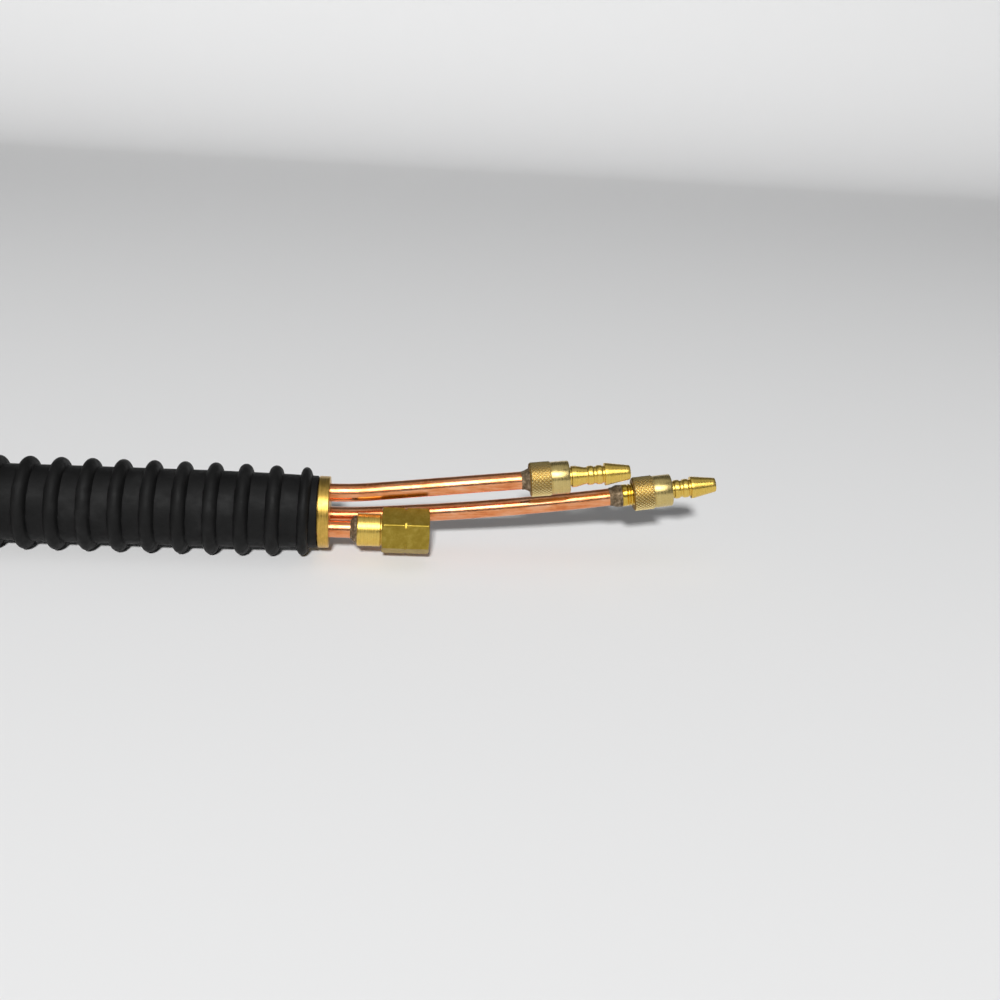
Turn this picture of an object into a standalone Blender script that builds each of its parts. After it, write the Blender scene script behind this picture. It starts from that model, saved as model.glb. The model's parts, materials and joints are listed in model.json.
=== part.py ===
"""Water-cooled TIG welding torch: ribbed handle, three copper tubes, brass hose fittings, angled head.

The origin is the centre of the rear cap's rear face. +X runs along the handle towards the hose end,
+Z is up, and the torch lies on its ribs and on the rim of its nozzle. Metres.
"""

from math import asin, cos, pi, radians, sin

import bmesh
import bpy
from mathutils import Matrix, Vector

MM = 0.001

# Handle
CAP_RADIUS = 12.7 * MM
CAP_THICKNESS = 3.8 * MM
HANDLE_FRONT = -184.0 * MM
HANDLE_TUBE_OUTER = 11.3 * MM
HANDLE_TUBE_INNER = 10.9 * MM
SLEEVE_INNER = 11.5 * MM
SLEEVE_RADIUS = 13.4 * MM
SLEEVE_FRONT_RADIUS = 12.9 * MM
SWELL_START = -45.0 * MM
SWELL_END = -150.0 * MM
RIB_HEIGHT = 2.7 * MM
RIB_HALF_WIDTH = 2.4 * MM
RIB_PITCH = 10.6 * MM
RIB_FIRST = -8.8 * MM
RIB_COUNT = 16
SLEEVE_SIDES = 24

# Copper tubes, a quarter of an inch across, on one circle round the handle's axis
TUBE_OUTER = 3.175 * MM
TUBE_INNER = 1.975 * MM
TUBE_CIRCLE = 7.4 * MM
TUBE_HOLE = 3.4 * MM
TUBE_FRONT = -187.7 * MM
WATER_SIDE, GAS_SIDE, POWER_SIDE = radians(90), radians(-30), radians(210)
# Where each tube's upward bend has reached an angle: (distance behind the cap, degrees)
WATER_BEND = ((0.0, 0.0), (16 * MM, 6.7))
GAS_BEND = ((1 * MM, 0.0), (12 * MM, 4.0), (100 * MM, 9.1))

# Union nuts, measured from the front face of a tight nut
WATER_SEAT = 70.7 * MM
GAS_SEAT = 104.4 * MM
GAS_NUT_OPEN = 5.5 * MM
NUT_LENGTH = 14.2 * MM
NUT_KNURL_LENGTH = 7.5 * MM
NUT_KNURL_RADIUS = 6.15 * MM
NUT_SMOOTH_RADIUS = 5.85 * MM
NUT_BORE = 4.3 * MM
NUT_POCKET = 4.9 * MM
NUT_REAR_HOLE = 4.05 * MM
SPIGOT_RADIUS = 4.0 * MM
SPIGOT_START, SPIGOT_END = 1.5 * MM, 8.0 * MM
TUBE_END = 4.8 * MM
TAIL_TIP = 36.1 * MM

# Power adapter, measured from the rear cap's face
SLEEVE_START, SLEEVE_END = 9.9 * MM, 18.5 * MM
HEX_START, HEX_END = 18.5 * MM, 35.2 * MM
HEX_FLATS = 14.8 * MM
HEX_TURN = radians(-3.5)
ADAPTER_SLEEVE_RADIUS = 5.65 * MM
SOCKET_RADIUS = 4.9 * MM
SOCKET_DEPTH = 12.0 * MM

# Head: its axis crosses the handle's axis, and distances along it are from that crossing
HEAD_X = -206.0 * MM
HEAD_ANGLE = radians(70)
HEAD_HALF = 15.0 * MM
CORE_RADIUS = 8.5 * MM
NECK_RADIUS = 7.5 * MM
FLANGE_RADIUS = 10.6 * MM
FLANGE_FRONT, FLANGE_REAR = -192.0 * MM, -182.0 * MM
NOZZLE_START, NOZZLE_END = 17.9 * MM, 65.0 * MM
NOZZLE_RIM_RADIUS = 7.0 * MM
ELECTRODE_RADIUS = 1.2 * MM
ELECTRODE_TIP, ELECTRODE_END = 73.0 * MM, -102.0 * MM
BACK_CAP_END = 110.0 * MM
BACK_CAP_TIP_RADIUS = 5.5 * MM
CLEAR = 0.3 * MM


def clear_scene():
    for obj in list(bpy.data.objects):
        bpy.data.objects.remove(obj)


def finish_material(name, colour, roughness, metallic):
    made = bpy.data.materials.new(name)
    made.use_nodes = True
    shader = made.node_tree.nodes["Principled BSDF"]
    shader.inputs["Base Color"].default_value = (*colour, 1.0)
    shader.inputs["Roughness"].default_value = roughness
    shader.inputs["Metallic"].default_value = metallic
    return made


# colour, roughness, metallic
FINISHES = {
    "black_rubber": ((0.018, 0.018, 0.019), 0.7, 0.0),
    "phenolic": ((0.07, 0.035, 0.02), 0.5, 0.0),
    "black_phenolic": ((0.02, 0.02, 0.02), 0.35, 0.0),
    "brass": ((0.62, 0.44, 0.16), 0.3, 1.0),
    "bronze": ((0.45, 0.27, 0.12), 0.35, 1.0),
    "copper": ((0.78, 0.36, 0.2), 0.25, 1.0),
    "braze": ((0.2, 0.17, 0.14), 0.75, 0.6),
    "alumina": ((0.72, 0.45, 0.36), 0.55, 0.0),
    "ptfe": ((0.85, 0.85, 0.83), 0.5, 0.0),
    "seal_rubber": ((0.03, 0.03, 0.03), 0.6, 0.0),
    "tungsten": ((0.5, 0.5, 0.52), 0.3, 1.0),
}


def add_object(name, mesh_builder, place, finish):
    """One node: the bmesh's shape at `place`, smooth where it is round."""
    mesh = bpy.data.meshes.new(name)
    bmesh.ops.recalc_face_normals(mesh_builder, faces=mesh_builder.faces)
    mesh_builder.to_mesh(mesh)
    mesh_builder.free()
    mesh.shade_smooth()
    mesh.set_sharp_from_angle(angle=radians(35))
    obj = bpy.data.objects.new(name, mesh)
    obj.matrix_world = place
    bpy.context.scene.collection.objects.link(obj)
    if finish:
        mesh.materials.append(finish_material(name, *FINISHES[finish]))
    return obj


def turned(profile, steps):
    """A closed outline of (x, radius) points, spun round the X axis. Points on the axis close it."""
    shape = bmesh.new()
    ring = [shape.verts.new((x, 0, radius)) for x, radius in profile]
    edges = [shape.edges.new(pair) for pair in zip(ring, ring[1:] + ring[:1])]
    bmesh.ops.spin(shape, geom=ring + edges, cent=(0, 0, 0), axis=(1, 0, 0), dvec=(0, 0, 0),
                   angle=2 * pi, steps=steps, use_merge=True, use_duplicate=False)
    bmesh.ops.remove_doubles(shape, verts=shape.verts, dist=1e-6)
    bmesh.ops.dissolve_degenerate(shape, edges=shape.edges, dist=1e-7)
    on_axis = [edge for edge in shape.edges if not edge.link_faces]
    bmesh.ops.delete(shape, geom=on_axis, context="EDGES")
    return shape


def turn(name, profile, place, finish, steps=24):
    return add_object(name, turned(profile, steps), place, finish)


def cutter(name, profile, place, steps=24):
    """A turned shape used only to cut or to add to another."""
    tool = turn(name, profile, place, None, steps)
    tool.hide_render = True
    tool.display_type = "WIRE"
    return tool


def combine(target, tool, operation="DIFFERENCE"):
    step = target.modifiers.new(tool.name, "BOOLEAN")
    step.object = tool
    step.operation = operation
    step.solver = "EXACT"


def rod(start, end, radius):
    """The outline of a plain solid cylinder."""
    return [(start, 0), (start, radius), (end, radius), (end, 0)]


def along(point, direction):
    """A frame at `point` with its X axis along `direction`."""
    turn_to = Vector((1, 0, 0)).rotation_difference(Vector(direction)).to_matrix().to_4x4()
    return Matrix.Translation(Vector(point)) @ turn_to


def rib_outline(centre, base):
    """Round-topped section from rear to front, standing on the sleeve."""
    shoulder = RIB_HALF_WIDTH * 0.5
    top = base + RIB_HEIGHT
    return [(centre + RIB_HALF_WIDTH, base), (centre + shoulder, top),
            (centre - shoulder, top), (centre - RIB_HALF_WIDTH, base)]


def sleeve_radius(x):
    """The grip swells from the cap to its full size and narrows again before the head."""
    if x > SWELL_START:
        share = (x + CAP_THICKNESS) / (SWELL_START + CAP_THICKNESS)
        return CAP_RADIUS + (SLEEVE_RADIUS - CAP_RADIUS) * sin(share * pi / 2)
    if x < SWELL_END:
        share = (x - SWELL_END) / (HANDLE_FRONT - SWELL_END)
        return SLEEVE_RADIUS + (SLEEVE_FRONT_RADIUS - SLEEVE_RADIUS) * share
    return SLEEVE_RADIUS


def tube_seat(side):
    """Where a tube passes the rear cap's face."""
    return Vector((0, TUBE_CIRCLE * cos(side), TUBE_CIRCLE * sin(side)))


def bend_at(bend, distance):
    """The tube's angle above the handle's axis at a distance behind the cap."""
    if distance <= bend[0][0]:
        return radians(bend[0][1])
    for (s0, a0), (s1, a1) in zip(bend, bend[1:]):
        if distance <= s1:
            return radians(a0 + (a1 - a0) * (distance - s0) / (s1 - s0))
    return radians(bend[-1][1])


def tube_point(side, bend, distance, steps=200):
    """Follows the bend and returns (point, direction) at a distance behind the cap."""
    point = tube_seat(side)
    stride = distance / steps
    for i in range(steps):
        angle = bend_at(bend, (i + 0.5) * stride)
        point = point + stride * Vector((cos(angle), 0, sin(angle)))
    angle = bend_at(bend, distance)
    return point, Vector((cos(angle), 0, sin(angle)))


def fitting_frame(side, bend, distance):
    point, direction = tube_point(side, bend, distance)
    return along(point, direction)


def copper_tube(name, side, bend, end, stations):
    """A hollow tube from the head, straight through the handle, then along its bend."""
    seat = tube_seat(side)
    path = [(seat + Vector((TUBE_FRONT, 0, 0)), Vector((1, 0, 0)))]
    path += [tube_point(side, bend, s) for s in stations + [end]]
    shape = bmesh.new()
    sides = 16
    loops = []
    for radius in (TUBE_OUTER, TUBE_INNER):
        for point, direction in path:
            up = Vector((0, 1, 0)).cross(direction) * -1
            ring = []
            for k in range(sides):
                a = 2 * pi * k / sides
                ring.append(shape.verts.new(point + radius * (cos(a) * up + sin(a) * Vector((0, 1, 0)))))
            loops.append(ring)
    half = len(path)
    order = list(range(half)) + list(range(2 * half - 1, half - 1, -1))
    for i, j in zip(order, order[1:] + order[:1]):
        for k in range(sides):
            m = (k + 1) % sides
            shape.faces.new((loops[i][k], loops[i][m], loops[j][m], loops[j][k]))
    return add_object(name, shape, Matrix.Identity(4), "copper")


def build_handle():
    world = Matrix.Identity(4)
    rear = -CAP_THICKNESS - CLEAR
    outline = [(rear, SLEEVE_INNER), (rear, CAP_RADIUS)]
    for i in range(RIB_COUNT):
        centre = RIB_FIRST - i * RIB_PITCH
        outline += rib_outline(centre, sleeve_radius(centre))
    outline += [(HANDLE_FRONT, SLEEVE_FRONT_RADIUS), (HANDLE_FRONT, SLEEVE_INNER)]
    # Half a step of turn puts a flat side under the ribs, so that the sleeve lies still.
    lying = Matrix.Rotation(pi / SLEEVE_SIDES, 4, "X")
    turn("grip_sleeve", outline, lying, "black_rubber", SLEEVE_SIDES)

    turn("handle_tube", [(rear, HANDLE_TUBE_INNER), (rear, HANDLE_TUBE_OUTER),
                         (HANDLE_FRONT, HANDLE_TUBE_OUTER), (HANDLE_FRONT, HANDLE_TUBE_INNER)],
         world, "phenolic", 24)

    plug_radius, plug_end = 10.6 * MM, -9.0 * MM
    cap = turn("rear_cap", [(0, 0), (0, CAP_RADIUS - 0.25 * MM), (-0.25 * MM, CAP_RADIUS),
                            (-CAP_THICKNESS, CAP_RADIUS), (-CAP_THICKNESS, plug_radius),
                            (plug_end, plug_radius), (plug_end, 0)], world, "brass", 36)
    spacer_middle, spacer_half = -98.0 * MM, 3.0 * MM
    spacer = turn("tube_spacer", rod(spacer_middle - spacer_half, spacer_middle + spacer_half, plug_radius),
                  world, "phenolic", 24)
    for side in (WATER_SIDE, GAS_SIDE, POWER_SIDE):
        seat = Matrix.Translation(tube_seat(side))
        tag = round(side, 2)
        combine(cap, cutter(f"cap_hole_{tag}", rod(-20 * MM, 5 * MM, TUBE_HOLE), seat, 16))
        combine(spacer, cutter(f"spacer_hole_{tag}", rod(-110 * MM, -85 * MM, TUBE_HOLE), seat, 16))


def build_tubes():
    power_end = 16.0 * MM
    straight = ((0, 0.0), (power_end, 0.0))
    copper_tube("power_tube", POWER_SIDE, straight, power_end, [])
    copper_tube("water_tube", WATER_SIDE, WATER_BEND, WATER_SEAT + TUBE_END,
                [d * MM for d in (0.5, 6, 11, 16)])
    copper_tube("gas_tube", GAS_SIDE, GAS_BEND, GAS_SEAT + TUBE_END,
                [d * MM for d in (1, 6.5, 12, 34, 56, 78, 100)])


def braze_ring(name, place, start, end, outer):
    inner = TUBE_OUTER + 0.15 * MM
    turn(name, [(start, inner), (start, TUBE_OUTER + 0.4 * MM), ((start + end) / 2, (TUBE_OUTER + outer) / 2
                 + 0.25 * MM), (end, outer), (end, inner)], place, "braze", 20)


def build_power_adapter():
    place = Matrix.Translation(tube_seat(POWER_SIDE))
    braze_ring("power_braze", place, 7.6 * MM, SLEEVE_START - CLEAR, 4.6 * MM)

    # A hexagon held inside a turned outline, which gives it chamfered ends and nicks its six corners
    # at half length, as a left-hand thread is marked.
    middle = (HEX_START + HEX_END) / 2
    corner = HEX_FLATS / 2 / cos(pi / 6)
    nick_depth, nick_half = 0.55 * MM, 0.4 * MM
    chamfer = 0.9 * MM
    adapter = turn("power_adapter", [(HEX_START, 0), (HEX_START, corner - chamfer),
                                     (HEX_START + chamfer / 2, corner + 0.1 * MM),
                                     (middle - nick_half, corner + 0.1 * MM),
                                     (middle, corner - nick_depth),
                                     (middle + nick_half, corner + 0.1 * MM),
                                     (HEX_END - chamfer / 2, corner + 0.1 * MM),
                                     (HEX_END, corner - chamfer), (HEX_END, 0)], place, "brass", 48)
    turned_hex = place @ Matrix.Rotation(HEX_TURN, 4, "X")
    prism = cutter("adapter_hexagon", rod(HEX_START - MM, HEX_END + MM, corner), turned_hex, 6)
    combine(adapter, prism, "INTERSECT")
    stem = cutter("adapter_stem", [(SLEEVE_START, 0), (SLEEVE_START, ADAPTER_SLEEVE_RADIUS - 0.3 * MM),
                                   (SLEEVE_START + 0.3 * MM, ADAPTER_SLEEVE_RADIUS),
                                   (SLEEVE_END - 0.6 * MM, ADAPTER_SLEEVE_RADIUS),
                                   (SLEEVE_END - 0.6 * MM, ADAPTER_SLEEVE_RADIUS - 0.3 * MM),
                                   (SLEEVE_END + 2 * MM, ADAPTER_SLEEVE_RADIUS - 0.3 * MM),
                                   (SLEEVE_END + 2 * MM, 0)], place, 32)
    combine(adapter, stem, "UNION")
    seat_end = HEX_END - SOCKET_DEPTH
    bore = cutter("adapter_bore", [(SLEEVE_START - MM, 0), (SLEEVE_START - MM, TUBE_HOLE),
                                   (16.3 * MM, TUBE_HOLE), (16.3 * MM, 2.2 * MM),
                                   (seat_end - 2.7 * MM, 2.2 * MM), (seat_end, SOCKET_RADIUS),
                                   (HEX_END - 0.5 * MM, SOCKET_RADIUS),
                                   (HEX_END + MM, SOCKET_RADIUS + 1.5 * MM), (HEX_END + MM, 0)], place, 24)
    combine(adapter, bore)


def build_union(prefix, tight, open_by):
    """Spigot on the tube, and the nut that pulls a barbed hose tail on to it. `tight` is the frame at the
    front face of the tight nut; the nut and its thrust ring stand back from there by `open_by`."""
    braze_ring(f"{prefix}_braze", tight, -2.2 * MM, SPIGOT_START - CLEAR, SPIGOT_RADIUS)

    thread_root = SPIGOT_RADIUS - 0.35 * MM
    turn(f"{prefix}_spigot", [(SPIGOT_START, TUBE_HOLE), (SPIGOT_START, SPIGOT_RADIUS),
                              (3.2 * MM, SPIGOT_RADIUS), (3.6 * MM, thread_root), (4.0 * MM, SPIGOT_RADIUS),
                              (4.4 * MM, SPIGOT_RADIUS), (4.8 * MM, thread_root), (5.2 * MM, SPIGOT_RADIUS),
                              (SPIGOT_END, SPIGOT_RADIUS), (SPIGOT_END, 2.75 * MM), (6.0 * MM, 2.75 * MM),
                              (5.7 * MM, 2.2 * MM), (5.1 * MM, 2.2 * MM), (5.1 * MM, TUBE_HOLE)],
         tight, "brass", 20)

    nose, collar, neck, bell, waist = 2.45 * MM, 4.1 * MM, 3.3 * MM, 3.8 * MM, 3.0 * MM
    ridge, barb, tip, bore = 3.4 * MM, 4.0 * MM, 2.6 * MM, 1.6 * MM
    outline = [(6.2 * MM, bore), (6.2 * MM, nose), (9.25 * MM, nose), (9.25 * MM, collar),
               (10.4 * MM, collar), (10.4 * MM, neck), (15.0 * MM, neck), (15.2 * MM, bell),
               (16.4 * MM, bell), (19.8 * MM, waist)]
    for middle in (21.8 * MM, 25.0 * MM):
        outline += [(middle - 1.2 * MM, waist), (middle - 0.6 * MM, ridge), (middle + 0.6 * MM, ridge),
                    (middle + 1.2 * MM, waist)]
    outline += [(26.8 * MM, waist), (27.0 * MM, barb), (27.9 * MM, barb), (TAIL_TIP - 0.4 * MM, tip),
                (TAIL_TIP, tip - 0.4 * MM), (TAIL_TIP, bore)]
    turn(f"{prefix}_tail", outline, tight, "brass", 16)

    seal_middle, seal_round, seal_thick = 8.62 * MM, 3.15 * MM, 0.48 * MM
    turn(f"{prefix}_tail_seal", [(seal_middle + seal_thick * cos(a), seal_round + seal_thick * sin(a))
                                 for a in (2 * pi * k / 6 for k in range(6))], tight, "seal_rubber", 16)

    place = tight @ Matrix.Translation((open_by, 0, 0))
    turn(f"{prefix}_nut_thrust_ring", [(10.65 * MM, 3.95 * MM), (10.65 * MM, 4.75 * MM),
                                       (12.45 * MM, 4.75 * MM), (12.45 * MM, 3.95 * MM)], place, "bronze")
    edge = 0.4 * MM
    turn(f"{prefix}_nut", [(0, NUT_BORE + edge), (0, NUT_KNURL_RADIUS - edge), (edge, NUT_KNURL_RADIUS),
                           (NUT_KNURL_LENGTH, NUT_KNURL_RADIUS), (NUT_KNURL_LENGTH + 0.2 * MM,
                                                                  NUT_SMOOTH_RADIUS),
                           (NUT_LENGTH - edge, NUT_SMOOTH_RADIUS), (NUT_LENGTH, NUT_SMOOTH_RADIUS - edge),
                           (NUT_LENGTH, NUT_REAR_HOLE), (12.6 * MM, NUT_REAR_HOLE), (12.6 * MM, NUT_POCKET),
                           (10.5 * MM, NUT_POCKET), (10.5 * MM, NUT_BORE), (edge, NUT_BORE)],
         place, "brass", 24)


def head_frames():
    """Frames at the head's crossing with the handle's axis: X to the nozzle, and X to the back cap. The
    head leans so that the nozzle's rim touches the surface that the ribs lie on."""
    floor_depth = (SLEEVE_RADIUS + RIB_HEIGHT) * cos(pi / SLEEVE_SIDES)
    lean = asin((floor_depth - NOZZLE_RIM_RADIUS) / (NOZZLE_END * sin(HEAD_ANGLE)))
    to_cap = Vector((cos(HEAD_ANGLE), sin(HEAD_ANGLE) * cos(lean), sin(HEAD_ANGLE) * sin(lean)))
    crossing = (HEAD_X, 0, 0)
    return along(crossing, -to_cap), along(crossing, to_cap)


def build_head(front):
    world = Matrix.Identity(4)
    core = turn("head_core", rod(-HEAD_HALF, HEAD_HALF, CORE_RADIUS), front, "copper", 24)
    neck = cutter("core_neck", [(HEAD_X, 0), (HEAD_X, NECK_RADIUS), (FLANGE_FRONT, NECK_RADIUS),
                                (FLANGE_FRONT, FLANGE_RADIUS), (FLANGE_REAR, FLANGE_RADIUS),
                                (FLANGE_REAR, 0)], world, 24)
    combine(core, neck, "UNION")
    far = HEAD_HALF + 5 * MM
    bore = cutter("core_bore", [(-far, 0), (-far, 6.0 * MM), (-4 * MM, 6.0 * MM), (-3 * MM, 3.5 * MM),
                                (2 * MM, 3.5 * MM), (2 * MM, 5.0 * MM), (far, 5.0 * MM), (far, 0)], front, 20)
    combine(core, bore)
    for side in (WATER_SIDE, GAS_SIDE, POWER_SIDE):
        hole = rod(TUBE_FRONT - CLEAR, FLANGE_REAR + 5 * MM, TUBE_HOLE)
        seat = Matrix.Translation(tube_seat(side))
        combine(core, cutter(f"core_socket_{round(side, 2)}", hole, seat, 16))

    # Rubber moulded over the core, with its neck tapering up to the handle's size
    shell_half, shell_radius, edge = 14.5 * MM, 12.0 * MM, 1.5 * MM
    cover = turn("head_insulation", [(-shell_half, 0), (-shell_half, shell_radius - edge),
                                     (-shell_half + edge, shell_radius), (shell_half - edge, shell_radius),
                                     (shell_half, shell_radius - edge), (shell_half, 0)],
                 front, "black_rubber", 32)
    rear = HANDLE_FRONT - 0.4 * MM
    neck_cover = cutter("cover_neck", [(HEAD_X, 0), (HEAD_X, 10.5 * MM), (FLANGE_FRONT - 3 * MM, 11.4 * MM),
                                       (rear - MM, SLEEVE_FRONT_RADIUS), (rear, SLEEVE_FRONT_RADIUS),
                                       (rear, 0)], world, 28)
    combine(cover, neck_cover, "UNION")
    room = cutter("cover_room", rod(-far, far, CORE_RADIUS + CLEAR), front, 24)
    combine(cover, room)
    neck_room = cutter("cover_neck_room", [(HEAD_X, 0), (HEAD_X, NECK_RADIUS + CLEAR),
                                           (FLANGE_FRONT - CLEAR, NECK_RADIUS + CLEAR),
                                           (FLANGE_FRONT - CLEAR, FLANGE_RADIUS + CLEAR),
                                           (FLANGE_REAR, FLANGE_RADIUS + CLEAR), (FLANGE_REAR, 0)], world, 24)
    combine(cover, neck_room)


def build_front_end(front):
    body = turn("collet_body", [(2.5 * MM, 3.2 * MM), (2.5 * MM, 4.7 * MM), (15.2 * MM, 4.7 * MM),
                                (15.2 * MM, 5.3 * MM), (30 * MM, 5.3 * MM), (30.5 * MM, 4.6 * MM),
                                (38 * MM, 4.6 * MM), (40 * MM, 3.0 * MM), (40 * MM, 1.5 * MM),
                                (37 * MM, 1.5 * MM), (35 * MM, 3.2 * MM)], front, "copper", 20)
    for spin in (0, pi / 2):
        across = front @ Matrix.Translation((32.5 * MM, 0, 0)) @ Matrix.Rotation(spin, 4, "X")
        across = across @ Matrix.Rotation(pi / 2, 4, "Y")
        combine(body, cutter(f"gas_port_{round(spin)}", rod(-8 * MM, 8 * MM, 0.9 * MM), across, 8))

    turn("collet", [(-7.5 * MM, 1.4 * MM), (-7.5 * MM, 2.9 * MM), (33.5 * MM, 2.9 * MM),
                    (35.5 * MM, 1.7 * MM), (35.5 * MM, 1.4 * MM)], front, "copper", 16)
    turn("electrode", [(ELECTRODE_END, 0), (ELECTRODE_END, ELECTRODE_RADIUS),
                       (ELECTRODE_TIP - 5 * MM, ELECTRODE_RADIUS), (ELECTRODE_TIP, 0.1 * MM),
                       (ELECTRODE_TIP, 0)], front, "tungsten", 12)
    turn("cup_gasket", [(15.3 * MM, 5.7 * MM), (15.3 * MM, 9.2 * MM), (17.6 * MM, 9.2 * MM),
                        (17.6 * MM, 5.7 * MM)], front, "ptfe", 24)
    edge = 0.5 * MM
    turn("nozzle", [(NOZZLE_START, 5.7 * MM), (NOZZLE_START, 9.4 * MM - edge), (NOZZLE_START + edge, 9.4 * MM),
                    (31 * MM, 9.4 * MM), (35 * MM, 8.2 * MM), (NOZZLE_END - edge, NOZZLE_RIM_RADIUS),
                    (NOZZLE_END, NOZZLE_RIM_RADIUS - edge), (NOZZLE_END, 5.6 * MM), (36 * MM, 6.2 * MM),
                    (31.5 * MM, 6.2 * MM), (31 * MM, 5.7 * MM)], front, "alumina", 24)


def build_back_cap(rear):
    neck, flange, root = 5.2 * MM, 8.6 * MM, 5.7 * MM
    shoulder = 16.6 * MM
    outline = [(7.8 * MM, 2.2 * MM), (7.8 * MM, root), (14.2 * MM, root), (14.6 * MM, neck),
               (shoulder, neck), (shoulder, flange - 0.5 * MM), (shoulder + 0.5 * MM, flange),
               (31 * MM, flange), (34 * MM, 7.2 * MM), (BACK_CAP_END - 5 * MM, BACK_CAP_TIP_RADIUS)]
    outline += [(BACK_CAP_END - 5 * MM + 5 * MM * sin(a), BACK_CAP_TIP_RADIUS * cos(a))
                for a in (radians(d) for d in (30, 60, 90))]
    outline += [(BACK_CAP_END - 3.5 * MM, 0), (BACK_CAP_END - 3.5 * MM, 2.2 * MM)]
    turn("back_cap", outline, rear, "black_phenolic", 24)
    ring_middle, ring_round, ring_thick = 15.8 * MM, 6.05 * MM, 0.6 * MM
    turn("back_cap_o_ring", [(ring_middle + ring_thick * cos(a), ring_round + ring_thick * sin(a))
                             for a in (2 * pi * k / 6 for k in range(6))], rear, "seal_rubber", 18)


def main():
    clear_scene()
    build_handle()
    build_tubes()
    build_power_adapter()
    build_union("water", fitting_frame(WATER_SIDE, WATER_BEND, WATER_SEAT), 0)
    build_union("gas", fitting_frame(GAS_SIDE, GAS_BEND, GAS_SEAT), GAS_NUT_OPEN)
    to_nozzle, to_back_cap = head_frames()
    build_head(to_nozzle)
    build_front_end(to_nozzle)
    build_back_cap(to_back_cap)


main()
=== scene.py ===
import json
from math import cos, pi, radians, sin, tan

import bmesh
import bpy
from mathutils import Matrix, Vector


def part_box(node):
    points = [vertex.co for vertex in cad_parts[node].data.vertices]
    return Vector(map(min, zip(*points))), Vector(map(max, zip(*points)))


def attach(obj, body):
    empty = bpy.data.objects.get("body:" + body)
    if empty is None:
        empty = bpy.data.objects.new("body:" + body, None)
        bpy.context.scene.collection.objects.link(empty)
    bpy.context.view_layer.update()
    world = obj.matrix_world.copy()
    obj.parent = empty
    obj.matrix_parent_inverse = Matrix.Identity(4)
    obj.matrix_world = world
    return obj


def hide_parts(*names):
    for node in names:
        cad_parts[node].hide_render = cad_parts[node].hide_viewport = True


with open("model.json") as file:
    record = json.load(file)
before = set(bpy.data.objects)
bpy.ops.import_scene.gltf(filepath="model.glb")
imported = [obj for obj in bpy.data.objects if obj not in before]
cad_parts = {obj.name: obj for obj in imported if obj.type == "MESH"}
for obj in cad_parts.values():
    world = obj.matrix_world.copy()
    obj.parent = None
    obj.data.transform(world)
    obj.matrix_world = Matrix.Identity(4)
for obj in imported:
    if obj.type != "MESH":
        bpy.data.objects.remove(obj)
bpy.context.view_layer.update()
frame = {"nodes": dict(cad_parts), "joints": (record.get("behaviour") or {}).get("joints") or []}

# ---------------------------------------------------------------------------------------------------
# Grip sleeve. A soft black rubber moulding pushed over the stiff handle tube, with half-round ribs all
# the way along and a short plain rim at each end.
MM = 0.001
GRIP_REAR, GRIP_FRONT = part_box("grip_sleeve")[1].x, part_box("grip_sleeve")[0].x
GRIP_INNER, GRIP_RIM, GRIP_FULL, GRIP_NECK = 11.5 * MM, 12.72 * MM, 13.4 * MM, 12.9 * MM
GRIP_EDGE, GRIP_SKIN = 0.3 * MM, 12 * MM
GRIP_SWELL_START, GRIP_SWELL_END = -45 * MM, -150 * MM
RIB_PITCH, RIB_FIRST, RIB_COUNT = 10.6 * MM, -8.8 * MM, 16
RIB_HEIGHT, RIB_HALF_WIDTH, RIB_LEAN = 2.8 * MM, 2.45 * MM, radians(1.9)
END_RIB_WIDTH = 0.8
STEPS_PER_RIB, GRIP_STEPS = 44, 88


def spun(outline, steps):
    """A mesh from a closed outline of (x, radius) points turned round X, with its faces outwards."""
    shape = bmesh.new()
    rings = []
    for x, radius in outline:
        if radius < 1e-9:
            rings.append([shape.verts.new((x, 0, 0))] * steps)
            continue
        turn = [2 * pi * k / steps for k in range(steps)]
        rings.append([shape.verts.new((x, radius * cos(a), radius * sin(a))) for a in turn])
    for first, second in zip(rings, rings[1:] + rings[:1]):
        for k in range(steps):
            corners = []
            for vertex in (first[k], first[k - 1], second[k - 1], second[k]):
                if vertex not in corners:
                    corners.append(vertex)
            if len(corners) > 2:
                shape.faces.new(corners)
    bmesh.ops.recalc_face_normals(shape, faces=shape.faces)
    mesh = bpy.data.meshes.new("turned")
    shape.to_mesh(mesh)
    shape.free()
    return mesh


def stepped(start, end, stride):
    """Places from start to end, both included, no further apart than the stride."""
    count = max(1, round(abs(end - start) / stride))
    return [start + (end - start) * i / count for i in range(count + 1)]


def placed(name, mesh, place, finish, sharp=40):
    """An object at the origin with its place in its mesh, smooth up to an edge of `sharp` degrees."""
    mesh.transform(place)
    mesh.shade_smooth()
    mesh.set_sharp_from_angle(angle=radians(sharp))
    mesh.materials.clear()
    mesh.materials.append(finish)
    mesh.name = name
    obj = bpy.data.objects.new(name, mesh)
    bpy.context.scene.collection.objects.link(obj)
    return obj


def new_tree(name, *numbers):
    """A geometry tree that takes a turned shape, named sizes and a finish."""
    tree = bpy.data.node_groups.new(name, "GeometryNodeTree")
    tree.interface.new_socket("Shape", in_out="INPUT", socket_type="NodeSocketGeometry")
    for number in numbers:
        tree.interface.new_socket(number, in_out="INPUT", socket_type="NodeSocketFloat")
    tree.interface.new_socket("Finish", in_out="INPUT", socket_type="NodeSocketMaterial")
    tree.interface.new_socket("Shape", in_out="OUTPUT", socket_type="NodeSocketGeometry")
    return tree, tree.nodes.new("NodeGroupInput").outputs


def work(tree, operation, *values):
    """One math node on numbers or sockets."""
    node = tree.nodes.new("ShaderNodeMath")
    node.operation = operation
    for slot, value in zip(node.inputs, values):
        if isinstance(value, (int, float)):
            slot.default_value = value
        else:
            tree.links.new(value, slot)
    return node.outputs[0]


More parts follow.
